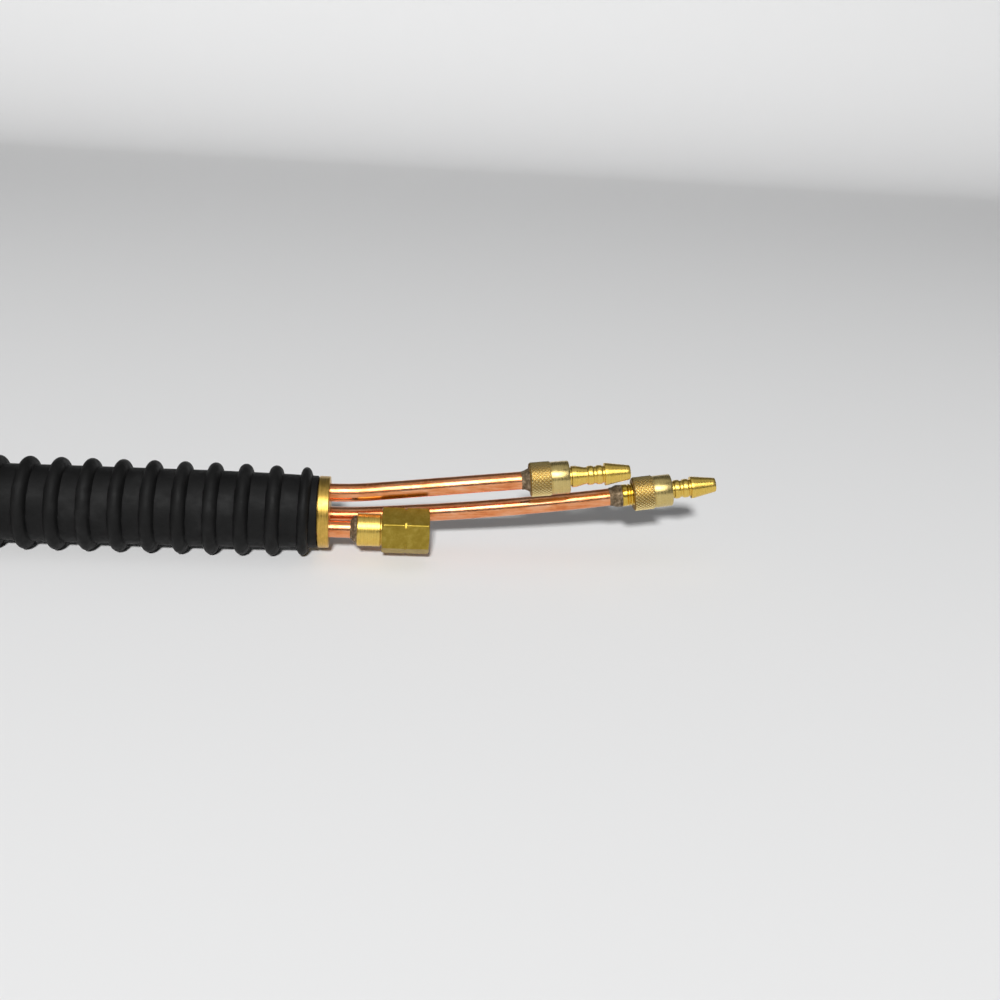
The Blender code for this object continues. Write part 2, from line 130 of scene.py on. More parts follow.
def around_axis(tree):
    """Sockets for each point's place along X, its radius, its angle round X and its height."""
    place = tree.nodes.new("GeometryNodeInputPosition")
    split = tree.nodes.new("ShaderNodeSeparateXYZ")
    tree.links.new(place.outputs[0], split.inputs[0])
    x, y, z = split.outputs
    square = work(tree, "ADD", work(tree, "MULTIPLY", y, y), work(tree, "MULTIPLY", z, z))
    return x, work(tree, "SQRT", square), work(tree, "ARCTAN2", z, y), z


def end_tree(tree, given, radius, new_radius):
    """Moves each point out or in to its new radius, and gives the shape its finish."""
    place = tree.nodes.new("GeometryNodeInputPosition")
    stretch = tree.nodes.new("ShaderNodeCombineXYZ")
    stretch.inputs[0].default_value = 1
    share = work(tree, "DIVIDE", new_radius, work(tree, "MAXIMUM", radius, 1e-6))
    moved = tree.nodes.new("ShaderNodeVectorMath")
    moved.operation = "MULTIPLY"
    move = tree.nodes.new("GeometryNodeSetPosition")
    real = tree.nodes.new("GeometryNodeRealizeInstances")
    coat = tree.nodes.new("GeometryNodeSetMaterial")
    done = tree.nodes.new("NodeGroupOutput")
    for start, end in ((share, stretch.inputs[1]), (share, stretch.inputs[2]),
                       (place.outputs[0], moved.inputs[0]), (stretch.outputs[0], moved.inputs[1]),
                       (given["Shape"], move.inputs["Geometry"]), (moved.outputs[0], move.inputs["Position"]),
                       (move.outputs[0], real.inputs[0]), (real.outputs[0], coat.inputs["Geometry"]),
                       (given["Finish"], coat.inputs["Material"]), (coat.outputs[0], done.inputs[0])):
        tree.links.new(start, end)
    return tree


def patterned(name, mesh, tree, sizes, place, finish, sharp=40):
    """Runs a tree on a turned mesh and keeps the result as a plain mesh in its place."""
    blank = bpy.data.objects.new(name + "_blank", mesh)
    bpy.context.scene.collection.objects.link(blank)
    step = blank.modifiers.new("pattern", "NODES")
    step.node_group = tree
    for item in tree.interface.items_tree:
        if item.in_out == "INPUT" and item.name in sizes:
            step[item.identifier] = sizes[item.name]
        if item.in_out == "INPUT" and item.name == "Finish":
            step[item.identifier] = finish
    graph = bpy.context.evaluated_depsgraph_get()
    result = bpy.data.meshes.new_from_object(blank.evaluated_get(graph))
    bpy.data.objects.remove(blank)
    return placed(name, result, place, finish, sharp)


def new_finish(name, colour, roughness, metallic=0.0):
    """A material with its shader, and the shader's tree to add to."""
    made = bpy.data.materials.new(name)
    made.use_nodes = True
    shader = made.node_tree.nodes["Principled BSDF"]
    shader.inputs["Base Color"].default_value = (*colour, 1)
    shader.inputs["Roughness"].default_value = roughness
    shader.inputs["Metallic"].default_value = metallic
    return made, made.node_tree, shader


def own_point(tree, place=Matrix.Identity(4), stretch=(1, 1, 1)):
    """Object coordinates turned into a piece's own frame, with X along its axis, then stretched."""
    source = tree.nodes.new("ShaderNodeTexCoord")
    turn = tree.nodes.new("ShaderNodeMapping")
    back = place.inverted()
    turn.inputs["Location"].default_value = back.translation
    turn.inputs["Rotation"].default_value = back.to_euler()
    pull = tree.nodes.new("ShaderNodeVectorMath")
    pull.operation = "MULTIPLY"
    pull.inputs[1].default_value = stretch
    tree.links.new(source.outputs["Object"], turn.inputs["Vector"])
    tree.links.new(turn.outputs[0], pull.inputs[0])
    return pull.outputs[0]


def grain(tree, point, size, detail=4, roughness=0.55):
    """Noise whose features are about `size` across; a socket from nought to one."""
    noise = tree.nodes.new("ShaderNodeTexNoise")
    noise.inputs["Scale"].default_value = 1 / size
    noise.inputs["Detail"].default_value = detail
    noise.inputs["Roughness"].default_value = roughness
    tree.links.new(point, noise.inputs["Vector"])
    return noise.outputs["Fac"]


def ramp(tree, value, *stops):
    """A colour ramp from (position, colour) stops."""
    node = tree.nodes.new("ShaderNodeValToRGB")
    while len(node.color_ramp.elements) < len(stops):
        node.color_ramp.elements.new(0.5)
    for element, (position, colour) in zip(node.color_ramp.elements, stops):
        element.position = position
        element.color = (*colour, 1)
    tree.links.new(value, node.inputs[0])
    return node.outputs[0]


def span(tree, value, low, high, start=0.3, end=0.7):
    """Maps the middle of a noise on to a range of numbers."""
    node = tree.nodes.new("ShaderNodeMapRange")
    for slot, number in zip(node.inputs[1:5], (start, end, low, high)):
        slot.default_value = number
    tree.links.new(value, node.inputs[0])
    return node.outputs[0]


def bump(tree, shader, height, distance, strength=1.0, under=None):
    """Relief of a real depth on the shader, over an earlier relief if there is one."""
    node = tree.nodes.new("ShaderNodeBump")
    node.inputs["Distance"].default_value = distance
    node.inputs["Strength"].default_value = strength
    tree.links.new(height, node.inputs["Height"])
    if under:
        tree.links.new(under, node.inputs["Normal"])
    tree.links.new(node.outputs[0], shader.inputs["Normal"])
    return node.outputs[0]


def moulded_rubber():
    """Matt black rubber with a fine mould grain, a little bloom and faint streaks."""
    made, tree, shader = new_finish("moulded_rubber", (0.012, 0.012, 0.012), 0.55)
    point = own_point(tree)
    cloud = grain(tree, point, 9 * MM, 5)
    fine = grain(tree, point, 0.35 * MM, 3, 0.7)
    tone = ramp(tree, cloud, (0.3, (0.004, 0.004, 0.004)), (0.55, (0.006, 0.006, 0.006)),
                (0.75, (0.012, 0.012, 0.012)))
    tree.links.new(tone, shader.inputs["Base Color"])
    tree.links.new(span(tree, grain(tree, point, 2.5 * MM), 0.48, 0.68), shader.inputs["Roughness"])
    shader.inputs["Specular IOR Level"].default_value = 0.14
    first = bump(tree, shader, cloud, 0.25 * MM, 0.35)
    bump(tree, shader, fine, 0.05 * MM, 0.7, first)
    return made


def grip_radius(x):
    """The sleeve without its ribs: it swells from the rim and narrows again to the neck."""
    if x > GRIP_SWELL_START:
        share = (x - GRIP_REAR) / (GRIP_SWELL_START - GRIP_REAR)
        return GRIP_RIM + (GRIP_FULL - GRIP_RIM) * sin(share * pi / 2)
    if x < GRIP_SWELL_END:
        share = (x - GRIP_SWELL_END) / (GRIP_FRONT - GRIP_SWELL_END)
        return GRIP_FULL + (GRIP_NECK - GRIP_FULL) * share
    return GRIP_FULL


def rib_tree():
    """Half-round ribs at a pitch, counted forward from the first, which is narrower; all lean a little."""
    tree, given = new_tree("ribs", "First", "Pitch", "Count", "Height", "Half width", "End width", "Lean",
                           "Outside")
    x, radius, _, height = around_axis(tree)
    x = work(tree, "SUBTRACT", x, work(tree, "MULTIPLY", height, given["Lean"]))
    ahead = work(tree, "SUBTRACT", given["First"], x)
    step = work(tree, "ROUND", work(tree, "DIVIDE", ahead, given["Pitch"]))
    last = work(tree, "SUBTRACT", given["Count"], 1)
    step = work(tree, "MINIMUM", work(tree, "MAXIMUM", step, 0), last)
    middle = work(tree, "SUBTRACT", given["First"], work(tree, "MULTIPLY", step, given["Pitch"]))
    width = work(tree, "MAXIMUM", work(tree, "MINIMUM", step, 1), given["End width"])
    width = work(tree, "MULTIPLY", width, given["Half width"])
    off = work(tree, "DIVIDE", work(tree, "SUBTRACT", x, middle), width)
    arch = work(tree, "SUBTRACT", 1, work(tree, "MULTIPLY", off, off))
    arch = work(tree, "SQRT", work(tree, "MAXIMUM", arch, 0))
    outer = work(tree, "GREATER_THAN", radius, given["Outside"])
    rise = work(tree, "MULTIPLY", work(tree, "MULTIPLY", arch, given["Height"]), outer)
    return end_tree(tree, given, radius, work(tree, "ADD", radius, rise))


sleeve_outline = [(GRIP_REAR, GRIP_INNER), (GRIP_REAR, GRIP_RIM - GRIP_EDGE)]
sleeve_outline += [(x, grip_radius(x)) for x in stepped(GRIP_REAR - GRIP_EDGE, GRIP_FRONT + GRIP_EDGE,
                                                        RIB_PITCH / STEPS_PER_RIB)]
sleeve_outline += [(GRIP_FRONT, GRIP_NECK - GRIP_EDGE), (GRIP_FRONT, GRIP_INNER)]
rubber = moulded_rubber()
grip = patterned("grip", spun(sleeve_outline, GRIP_STEPS), rib_tree(),
                 {"First": RIB_FIRST, "Pitch": RIB_PITCH, "Count": float(RIB_COUNT), "Height": RIB_HEIGHT,
                  "Half width": RIB_HALF_WIDTH, "End width": END_RIB_WIDTH, "Lean": tan(RIB_LEAN),
                  "Outside": GRIP_SKIN}, Matrix.Identity(4), rubber)
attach(grip, "torch")
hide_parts("grip_sleeve")

# ---------------------------------------------------------------------------------------------------
# Rear cap. A turned brass disc with a plug that fits the handle tube, drilled for the three tubes. Its
# rim is flush with the rubber and dull from handling.
CAP_RADIUS, CAP_THICKNESS, PLUG_RADIUS, PLUG_END = 12.7 * MM, 3.8 * MM, 10.6 * MM, -9 * MM
CAP_EDGE, TUBE_CIRCLE, TUBE_HOLE = 0.25 * MM, 7.4 * MM, 3.35 * MM
WATER_SIDE, GAS_SIDE, POWER_SIDE = radians(90), radians(-30), radians(210)


def tube_seat(side):
    """Where a tube passes the rear cap's face."""
    return Vector((0, TUBE_CIRCLE * cos(side), TUBE_CIRCLE * sin(side)))


def rod(start, end, radius):
    """The outline of a plain cylinder, for a cutter."""
    return [(start, 0), (start, radius), (end, radius), (end, 0)]


def cut(mesh, *tools):
    """The mesh with each (mesh, place) tool taken out of it."""
    body = bpy.data.objects.new("body", mesh)
    bpy.context.scene.collection.objects.link(body)
    helpers = []
    for tool, place in tools:
        helper = bpy.data.objects.new("tool", tool)
        helper.matrix_world = place
        bpy.context.scene.collection.objects.link(helper)
        step = body.modifiers.new("cut", "BOOLEAN")
        step.object = helper
        helpers.append(helper)
    graph = bpy.context.evaluated_depsgraph_get()
    result = bpy.data.meshes.new_from_object(body.evaluated_get(graph))
    for spent in helpers + [body]:
        bpy.data.objects.remove(spent)
    return result


def turned_brass(name, place, bright, dull, roughness, cut_marks=0.8):
    """Brass off the lathe: fine tool rings round its axis, and a thin brown tarnish in patches."""
    made, tree, shader = new_finish(name, bright, roughness, 1.0)
    point = own_point(tree, place)
    lines = grain(tree, own_point(tree, place, (1, 0.03, 0.03)), 0.22 * MM, 3, 0.8)
    patches = grain(tree, point, 1.6 * MM, 6, 0.65)
    mixed = work(tree, "MULTIPLY_ADD", patches, 0.35, work(tree, "MULTIPLY", lines, 0.65))
    tree.links.new(ramp(tree, mixed, (0.34, dull), (0.58, bright)), shader.inputs["Base Color"])
    wear = work(tree, "ADD", span(tree, patches, 0.05, -0.03), span(tree, lines, -0.05, 0.07))
    tree.links.new(work(tree, "ADD", wear, roughness), shader.inputs["Roughness"])
    first = bump(tree, shader, lines, 0.02 * MM, cut_marks)
    bump(tree, shader, grain(tree, point, 0.5 * MM, 4, 0.7), 0.02 * MM, cut_marks * 0.6, first)
    return made


cap_outline = [(0, 0), (0, CAP_RADIUS - CAP_EDGE), (-CAP_EDGE, CAP_RADIUS),
               (CAP_EDGE / 2 - CAP_THICKNESS, CAP_RADIUS), (-CAP_THICKNESS, CAP_RADIUS - CAP_EDGE / 2),
               (-CAP_THICKNESS, PLUG_RADIUS), (PLUG_END, PLUG_RADIUS), (PLUG_END, 0)]
drills = [(spun(rod(-20 * MM, 5 * MM, TUBE_HOLE), 40), Matrix.Translation(tube_seat(side)))
          for side in (WATER_SIDE, GAS_SIDE, POWER_SIDE)]
cap_brass = turned_brass("cap_brass", Matrix.Identity(4), (0.78, 0.51, 0.12), (0.46, 0.28, 0.05), 0.31, 0.6)
cap = placed("rear_cap_visual", cut(spun(cap_outline, 128), *drills), Matrix.Identity(4), cap_brass)
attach(cap, "torch")
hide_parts("rear_cap")

# ---------------------------------------------------------------------------------------------------
# Copper tubes. Hard-drawn quarter-inch tube; the water and gas tubes are bent up a little by hand behind
# the cap. Drawing leaves streaks along them, and handling leaves darker blotches.
TUBE_OUTER, TUBE_INNER, TUBE_FRONT = 3.175 * MM, 1.975 * MM, -187.7 * MM
TUBE_STEPS = 64
# Where each upward bend has reached an angle: (distance behind the cap, degrees)
STRAIGHT = ((0.0, 0.0), (16 * MM, 0.0))
WATER_BEND = ((0.0, 0.0), (16 * MM, 6.7))
GAS_BEND = ((1 * MM, 0.0), (12 * MM, 4.0), (100 * MM, 9.1))
POWER_END, WATER_END, GAS_END = 16.0 * MM, 75.5 * MM, 109.2 * MM


def bend_at(bend, distance):
    """The tube's angle above the handle's axis at a distance behind the cap."""
    if distance <= bend[0][0]:
        return radians(bend[0][1])
    for (s0, a0), (s1, a1) in zip(bend, bend[1:]):
        if distance <= s1:
            return radians(a0 + (a1 - a0) * (distance - s0) / (s1 - s0))
    return radians(bend[-1][1])


def tube_line(side, bend, end):
    """Points down the middle of a tube with its angle at each, from the head to its end."""
    seat = tube_seat(side)
    line = [(seat + Vector((x, 0, 0)), 0.0) for x in stepped(TUBE_FRONT, 0, 20 * MM)]
    stride = 0.75 * MM
    distance = 0.0
    point = seat
    while distance < end:
        advance = min(stride, end - distance)
        angle = bend_at(bend, distance + advance / 2)
        point = point + advance * Vector((cos(angle), 0, sin(angle)))
        distance += advance
        line.append((point, bend_at(bend, distance)))
    return line


def swept_tube(line):
    """A hollow tube along the line, open at both ends, with its wall closed."""
    shape = bmesh.new()
    loops = []
    for radius, way in ((TUBE_OUTER, line), (TUBE_INNER, line[::-1])):
        for point, angle in way:
            up = Vector((-sin(angle), 0, cos(angle)))
            turn = [2 * pi * k / TUBE_STEPS for k in range(TUBE_STEPS)]
            loops.append([shape.verts.new(point + radius * (cos(a) * up + sin(a) * Vector((0, 1, 0))))
                          for a in turn])
    for first, second in zip(loops, loops[1:] + loops[:1]):
        for k in range(TUBE_STEPS):
            shape.faces.new((first[k], first[k - 1], second[k - 1], second[k]))
    bmesh.ops.recalc_face_normals(shape, faces=shape.faces)
    mesh = bpy.data.meshes.new("tube")
    shape.to_mesh(mesh)
    shape.free()
    return mesh


def drawn_copper(name, seed):
    """Bright drawn copper: streaks along the tube, orange to pink, with a thin brown oxide in places."""
    made, tree, shader = new_finish(name, (0.92, 0.36, 0.15), 0.2, 1.0)
    offset = Matrix.Translation((seed, 0, 0))
    streaks = grain(tree, own_point(tree, offset, (0.05, 1, 1)), 0.4 * MM, 4, 0.7)
    blotches = grain(tree, own_point(tree, offset, (0.3, 1, 1)), 3 * MM, 6, 0.65)
    mixed = work(tree, "MULTIPLY_ADD", streaks, 0.4, work(tree, "MULTIPLY", blotches, 0.6))
    tone = ramp(tree, mixed, (0.36, (0.62, 0.17, 0.055)), (0.48, (0.86, 0.33, 0.13)),
                (0.64, (0.97, 0.53, 0.32)))
    tree.links.new(tone, shader.inputs["Base Color"])
    wear = work(tree, "ADD", span(tree, blotches, 0.08, -0.02), span(tree, streaks, -0.04, 0.06))
    tree.links.new(work(tree, "ADD", wear, 0.18), shader.inputs["Roughness"])
    first = bump(tree, shader, streaks, 0.02 * MM, 0.5)
    second = bump(tree, shader, grain(tree, own_point(tree, offset, (0.6, 1, 1)), 0.7 * MM, 3, 0.6),
                  0.03 * MM, 0.6, first)
    third = bump(tree, shader, grain(tree, own_point(tree, offset, (0.3, 1, 1)), 5 * MM, 2),
                 0.12 * MM, 0.5, second)
    bump(tree, shader, grain(tree, own_point(tree, offset), 0.3 * MM, 2, 0.6), 0.02 * MM, 0.7, third)
    return made


for number, (name, side, bend, end) in enumerate((("power_tube", POWER_SIDE, STRAIGHT, POWER_END),
                                                  ("water_tube", WATER_SIDE, WATER_BEND, WATER_END),
                                                  ("gas_tube", GAS_SIDE, GAS_BEND, GAS_END))):
    copper = drawn_copper(name + "_copper", 0.3 * number)
    tube = placed(name + "_visual", swept_tube(tube_line(side, bend, end)), Matrix.Identity(4), copper)
    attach(tube, "torch")
    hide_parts(name)

# ---------------------------------------------------------------------------------------------------
# Power adapter. Turned and milled from hexagonal brass bar: a round stem brazed over the tube, and a
# hexagon whose corners are nicked at half length because its socket has a left-hand thread.
STEM_START, STEM_END, STEM_RADIUS, STEM_GROOVE = 9.9 * MM, 18.1 * MM, 5.85 * MM, 0.45 * MM
HEX_START, HEX_END, HEX_FLATS, HEX_TURN = 18.6 * MM, 35.2 * MM, 14.8 * MM, radians(-3.5)
HEX_CHAMFER, HEX_LAND, NICK_DEPTH, NICK_HALF = 1.0 * MM, 0.08 * MM, 0.5 * MM, 0.45 * MM
SOCKET_RADIUS, SOCKET_DEPTH, SOCKET_PITCH, SOCKET_THREAD = 4.6 * MM, 12.0 * MM, 1.25 * MM, 0.5 * MM
THROAT_RADIUS, THROAT_END, DRILL_POINT = 2.2 * MM, 16.3 * MM, 2.7 * MM


def outside_band(tree, given, x, radius):
    """One on the outer skin between the band's start and its end, else nought."""
    past = work(tree, "GREATER_THAN", x, given["Start"])
    short = work(tree, "LESS_THAN", x, given["End"])
    outer = work(tree, "GREATER_THAN", radius, given["Outside"])
    return work(tree, "MULTIPLY", work(tree, "MULTIPLY", past, short), outer)


def flats_tree():
    """Planes flat sides round the axis between two places, and leaves the rest as turned."""
    tree, given = new_tree("flats", "Sides", "Across", "Turn", "Start", "End", "Outside")
    x, radius, angle, _ = around_axis(tree)
    sector = work(tree, "DIVIDE", 2 * pi, given["Sides"])
    off = work(tree, "WRAP", work(tree, "SUBTRACT", angle, given["Turn"]),
               work(tree, "MULTIPLY", sector, 0.5), work(tree, "MULTIPLY", sector, -0.5))
    flat = work(tree, "DIVIDE", work(tree, "MULTIPLY", given["Across"], 0.5), work(tree, "COSINE", off))
    planed = work(tree, "SMOOTH_MIN", radius, flat, 0.2 * MM)
    change = work(tree, "MULTIPLY", outside_band(tree, given, x, radius),
                  work(tree, "SUBTRACT", planed, radius))
    return end_tree(tree, given, radius, work(tree, "ADD", radius, change))


def milled_brass(name, place):
    """Brass bar with an olive tarnish and faint rolling marks along its flats."""
    made, tree, shader = new_finish(name, (0.46, 0.33, 0.06), 0.4, 1.0)
    point = own_point(tree, place)
    patches = grain(tree, point, 2 * MM, 6, 0.7)
    tone = ramp(tree, patches, (0.3, (0.31, 0.21, 0.028)), (0.5, (0.39, 0.275, 0.042)),
                (0.72, (0.5, 0.37, 0.075)))
    tree.links.new(tone, shader.inputs["Base Color"])
    marks = grain(tree, own_point(tree, place, (0.06, 1, 1)), 0.3 * MM, 4, 0.7)
    tree.links.new(work(tree, "ADD", span(tree, patches, 0.07, -0.04), span(tree, marks, 0.36, 0.46)),
                   shader.inputs["Roughness"])
    first = bump(tree, shader, marks, 0.02 * MM, 0.5)
    bump(tree, shader, grain(tree, point, 0.7 * MM, 5, 0.7), 0.03 * MM, 0.6, first)
    return made


adapter_place = Matrix.Translation(tube_seat(POWER_SIDE))
corner = HEX_FLATS / 2 / cos(pi / 6)
# Each corner keeps a narrow land of the round bar, which catches the light
land = corner - HEX_LAND
middle = (HEX_START + HEX_END) / 2
socket_end = HEX_END - SOCKET_DEPTH
adapter_outline = [(STEM_START, TUBE_HOLE), (STEM_START, STEM_RADIUS - 0.25 * MM),
                   (STEM_START + 0.25 * MM, STEM_RADIUS)]
adapter_outline += [(x, STEM_RADIUS) for x in stepped(STEM_START + MM, STEM_END - 0.2 * MM, 1.5 * MM)]
adapter_outline += [(STEM_END, STEM_RADIUS - 0.2 * MM), (STEM_END + 0.1 * MM, STEM_RADIUS - STEM_GROOVE),
                    (HEX_START - 0.1 * MM, STEM_RADIUS - STEM_GROOVE), (HEX_START, STEM_RADIUS - 0.2 * MM)]
adapter_outline += [(HEX_START + 0.001 * MM, corner - HEX_CHAMFER)]
adapter_outline += [(HEX_START + t * HEX_CHAMFER / 2, corner - HEX_CHAMFER * (1 - t))
                    for t in (0.25, 0.5, 0.75)]
adapter_outline += [(x, land) for x in stepped(HEX_START + HEX_CHAMFER / 2, middle - NICK_HALF, 0.5 * MM)]
adapter_outline += [(middle + NICK_HALF * t, land - NICK_DEPTH * min(1, 4 - 4 * abs(t)))
                    for t in (-0.88, -0.75, -0.3, 0.3, 0.75, 0.88)]
adapter_outline += [(x, land) for x in stepped(middle + NICK_HALF, HEX_END - HEX_CHAMFER / 2, 0.5 * MM)]
adapter_outline += [(HEX_END - t * HEX_CHAMFER / 2, corner - HEX_CHAMFER * (1 - t))
                    for t in (0.75, 0.5, 0.25, 0)]
adapter_outline += [(HEX_END, SOCKET_RADIUS + SOCKET_THREAD)]
adapter_outline += [(x, SOCKET_RADIUS + SOCKET_THREAD * abs(sin(pi * x / SOCKET_PITCH)))
                    for x in stepped(HEX_END - 0.5 * MM, socket_end + 2 * MM, SOCKET_PITCH / 8)]
adapter_outline += [(socket_end, SOCKET_RADIUS), (socket_end - DRILL_POINT, THROAT_RADIUS),
                    (THROAT_END, THROAT_RADIUS), (THROAT_END, TUBE_HOLE)]
adapter_brass = milled_brass("adapter_brass", adapter_place)
adapter = patterned("power_adapter_visual", spun(adapter_outline, 288), flats_tree(),
                    {"Sides": 6.0, "Across": HEX_FLATS, "Turn": HEX_TURN, "Start": HEX_START,
                     "End": HEX_END + MM, "Outside": STEM_RADIUS * 1.02},
                    adapter_place, adapter_brass, 28)
stem_brass = turned_brass("stem_brass", adapter_place, (0.84, 0.6, 0.15), (0.68, 0.46, 0.09), 0.29, 0.3)
adapter.data.materials.append(stem_brass)
for face in adapter.data.polygons:
    if face.center.x < HEX_START:
        face.material_index = 1
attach(adapter, "torch")
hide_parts("power_adapter")

# ---------------------------------------------------------------------------------------------------
# Brazed joints. Silver braze run round the end of each tube, left as it froze: a lumpy grey-brown fillet
# under a skin of burnt flux.
joints = {joint["name"]: joint for joint in frame["joints"]}
SPIGOT_RADIUS, SPIGOT_START = 4.0 * MM, 1.5 * MM
BRAZE_SKIN, BRAZE_EDGE, BRAZE_STEPS = 0.06 * MM, 0.02 * MM, 16


def along(point, direction):
    """A frame at a point with its X axis along a direction."""
    turn = Vector((1, 0, 0)).rotation_difference(Vector(direction).normalized())
    return Matrix.Translation(Vector(point)) @ turn.to_matrix().to_4x4()


def lump_tree():
    """Uneven build-up over the outside of a ring."""
    tree, given = new_tree("lumps", "Size", "Height", "Seed", "Outside")
    _, radius, _, _ = around_axis(tree)
    noise = tree.nodes.new("ShaderNodeTexNoise")
    noise.noise_dimensions = "4D"
    tree.links.new(work(tree, "DIVIDE", 1, given["Size"]), noise.inputs["Scale"])
    tree.links.new(given["Seed"], noise.inputs["W"])
    outer = work(tree, "GREATER_THAN", radius, given["Outside"])
    rise = work(tree, "MULTIPLY", work(tree, "SUBTRACT", noise.outputs[0], 0.5), given["Height"])
    return end_tree(tree, given, radius, work(tree, "ADD", radius, work(tree, "MULTIPLY", rise, outer)))


def burnt_braze():
    """Grey-brown filler metal with a dull, pitted skin."""
    made, tree, shader = new_finish("burnt_braze", (0.26, 0.18, 0.11), 0.6, 0.7)
    point = own_point(tree)
    patches = grain(tree, point, 1.1 * MM, 5, 0.65)
    tone = ramp(tree, patches, (0.32, (0.05, 0.036, 0.022)), (0.5, (0.17, 0.12, 0.07)),
                (0.7, (0.36, 0.275, 0.18)))
    tree.links.new(tone, shader.inputs["Base Color"])
    tree.links.new(span(tree, patches, 0.75, 0.42), shader.inputs["Roughness"])
    bump(tree, shader, grain(tree, point, 0.45 * MM, 5, 0.7), 0.12 * MM, 0.9)
    return made


braze = burnt_braze()
lumps = lump_tree()
water_place = along(joints["water_nut_turn"]["pos_m"], joints["water_nut_turn"]["axis"])
gas_place = along(joints["gas_nut_turn"]["pos_m"], joints["gas_nut_turn"]["axis"])
for seed, (name, place, start, end, outer) in enumerate((
        ("power_braze", adapter_place, 7.5 * MM, STEM_START, 4.7 * MM),
        ("water_braze", water_place, -2.9 * MM, SPIGOT_START, SPIGOT_RADIUS),
        ("gas_braze", gas_place, -3.1 * MM, SPIGOT_START, SPIGOT_RADIUS))):
    ring = [(start, TUBE_OUTER + BRAZE_EDGE)]
    for step in range(1, BRAZE_STEPS + 1):
        share = step / BRAZE_STEPS
        swell = min(1, share * 1.7) ** 1.5
        ring.append((start + (end - start) * share, TUBE_OUTER + BRAZE_SKIN + (outer - TUBE_OUTER) * swell))
    ring.append((end, TUBE_OUTER + BRAZE_EDGE))
    fillet = patterned(name + "_visual", spun(ring, 56), lumps,
                       {"Size": 1.4 * MM, "Height": 0.7 * MM, "Seed": 3.1 * seed,
                        "Outside": TUBE_OUTER + 0.05 * MM}, place, braze, 80)
    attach(fillet, "torch")
    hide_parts(name)

# ---------------------------------------------------------------------------------------------------
# Spigots. Small turned brass ends brazed on to the water and gas tubes: a plain collar, then a fine
# thread for the union nut. Only the open gas nut lets its spigot be seen.
SPIGOT_END, SPIGOT_SOCKET, SPIGOT_MOUTH, SPIGOT_THROAT = 8.0 * MM, 3.3 * MM, 2.75 * MM, 2.2 * MM
THREAD_START, THREAD_END, THREAD_PITCH, THREAD_DEPTH = 3.2 * MM, 7.8 * MM, 1.0 * MM, 0.4 * MM


def carved(tree, given, x, radius, share):
    """Cuts the outer skin of a band by a share of the depth, and ends the tree."""
    cut_in = work(tree, "MULTIPLY", work(tree, "MULTIPLY", share, given["Depth"]),
                  outside_band(tree, given, x, radius))
    return end_tree(tree, given, radius, work(tree, "SUBTRACT", radius, cut_in))


def thread_tree():
    """Cuts a V thread into the outside of a turned shape between two places."""
    tree, given = new_tree("thread", "Pitch", "Depth", "Start", "End", "Outside")
    x, radius, angle, _ = around_axis(tree)
    turns = work(tree, "ADD", work(tree, "DIVIDE", x, given["Pitch"]), work(tree, "DIVIDE", angle, 2 * pi))
    groove = work(tree, "SUBTRACT", 1, work(tree, "MULTIPLY", work(tree, "PINGPONG", turns, 0.5), 2))
    groove = work(tree, "SMOOTH_MAX", work(tree, "MULTIPLY_ADD", groove, 1.5, -0.5), 0, 0.2)
    return carved(tree, given, x, radius, groove)


thread = thread_tree()
spigot_outline = [(SPIGOT_START, SPIGOT_SOCKET), (SPIGOT_START, SPIGOT_RADIUS - 0.1 * MM),
                  (SPIGOT_START + 0.1 * MM, SPIGOT_RADIUS)]
spigot_outline += [(x, SPIGOT_RADIUS) for x in stepped(2.2 * MM, SPIGOT_END - 0.1 * MM, 0.06 * MM)]
spigot_outline += [(SPIGOT_END, SPIGOT_RADIUS - 0.1 * MM), (SPIGOT_END, SPIGOT_MOUTH),
                   (6 * MM, SPIGOT_MOUTH), (5.7 * MM, SPIGOT_THROAT), (5.1 * MM, SPIGOT_THROAT),
                   (5.1 * MM, SPIGOT_SOCKET)]
for name, place in (("water_spigot", water_place), ("gas_spigot", gas_place)):
    spigot_brass = turned_brass(name + "_brass", place, (0.85, 0.58, 0.1), (0.5, 0.32, 0.05), 0.2, 0.6)
    spigot = patterned(name + "_visual", spun(spigot_outline, 96), thread,
                       {"Pitch": THREAD_PITCH, "Depth": THREAD_DEPTH, "Start": THREAD_START,
                        "End": THREAD_END, "Outside": 3.6 * MM}, place, spigot_brass, 50)
    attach(spigot, "torch")
    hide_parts(name)

# ---------------------------------------------------------------------------------------------------
# Union nuts. Turned brass sleeves, diamond-knurled in front for the fingers and smooth behind. Each is
# screwed on to its spigot and draws the hose tail after it.
NUT_LENGTH, NUT_KNURL_LENGTH, NUT_EDGE = 14.2 * MM, 7.5 * MM, 0.4 * MM
NUT_KNURL_RADIUS, NUT_SMOOTH_RADIUS, NUT_BORE, NUT_POCKET, NUT_REAR_HOLE = (
    6.2 * MM, 5.85 * MM, 4.3 * MM, 4.9 * MM, 4.05 * MM)
POCKET_START, POCKET_END, GAS_NUT_OPEN = 10.5 * MM, 12.6 * MM, 5.5 * MM
DIAMONDS_ROUND, DIAMOND_PITCH, DIAMOND_DEPTH = 28, 1.4 * MM, 0.4 * MM


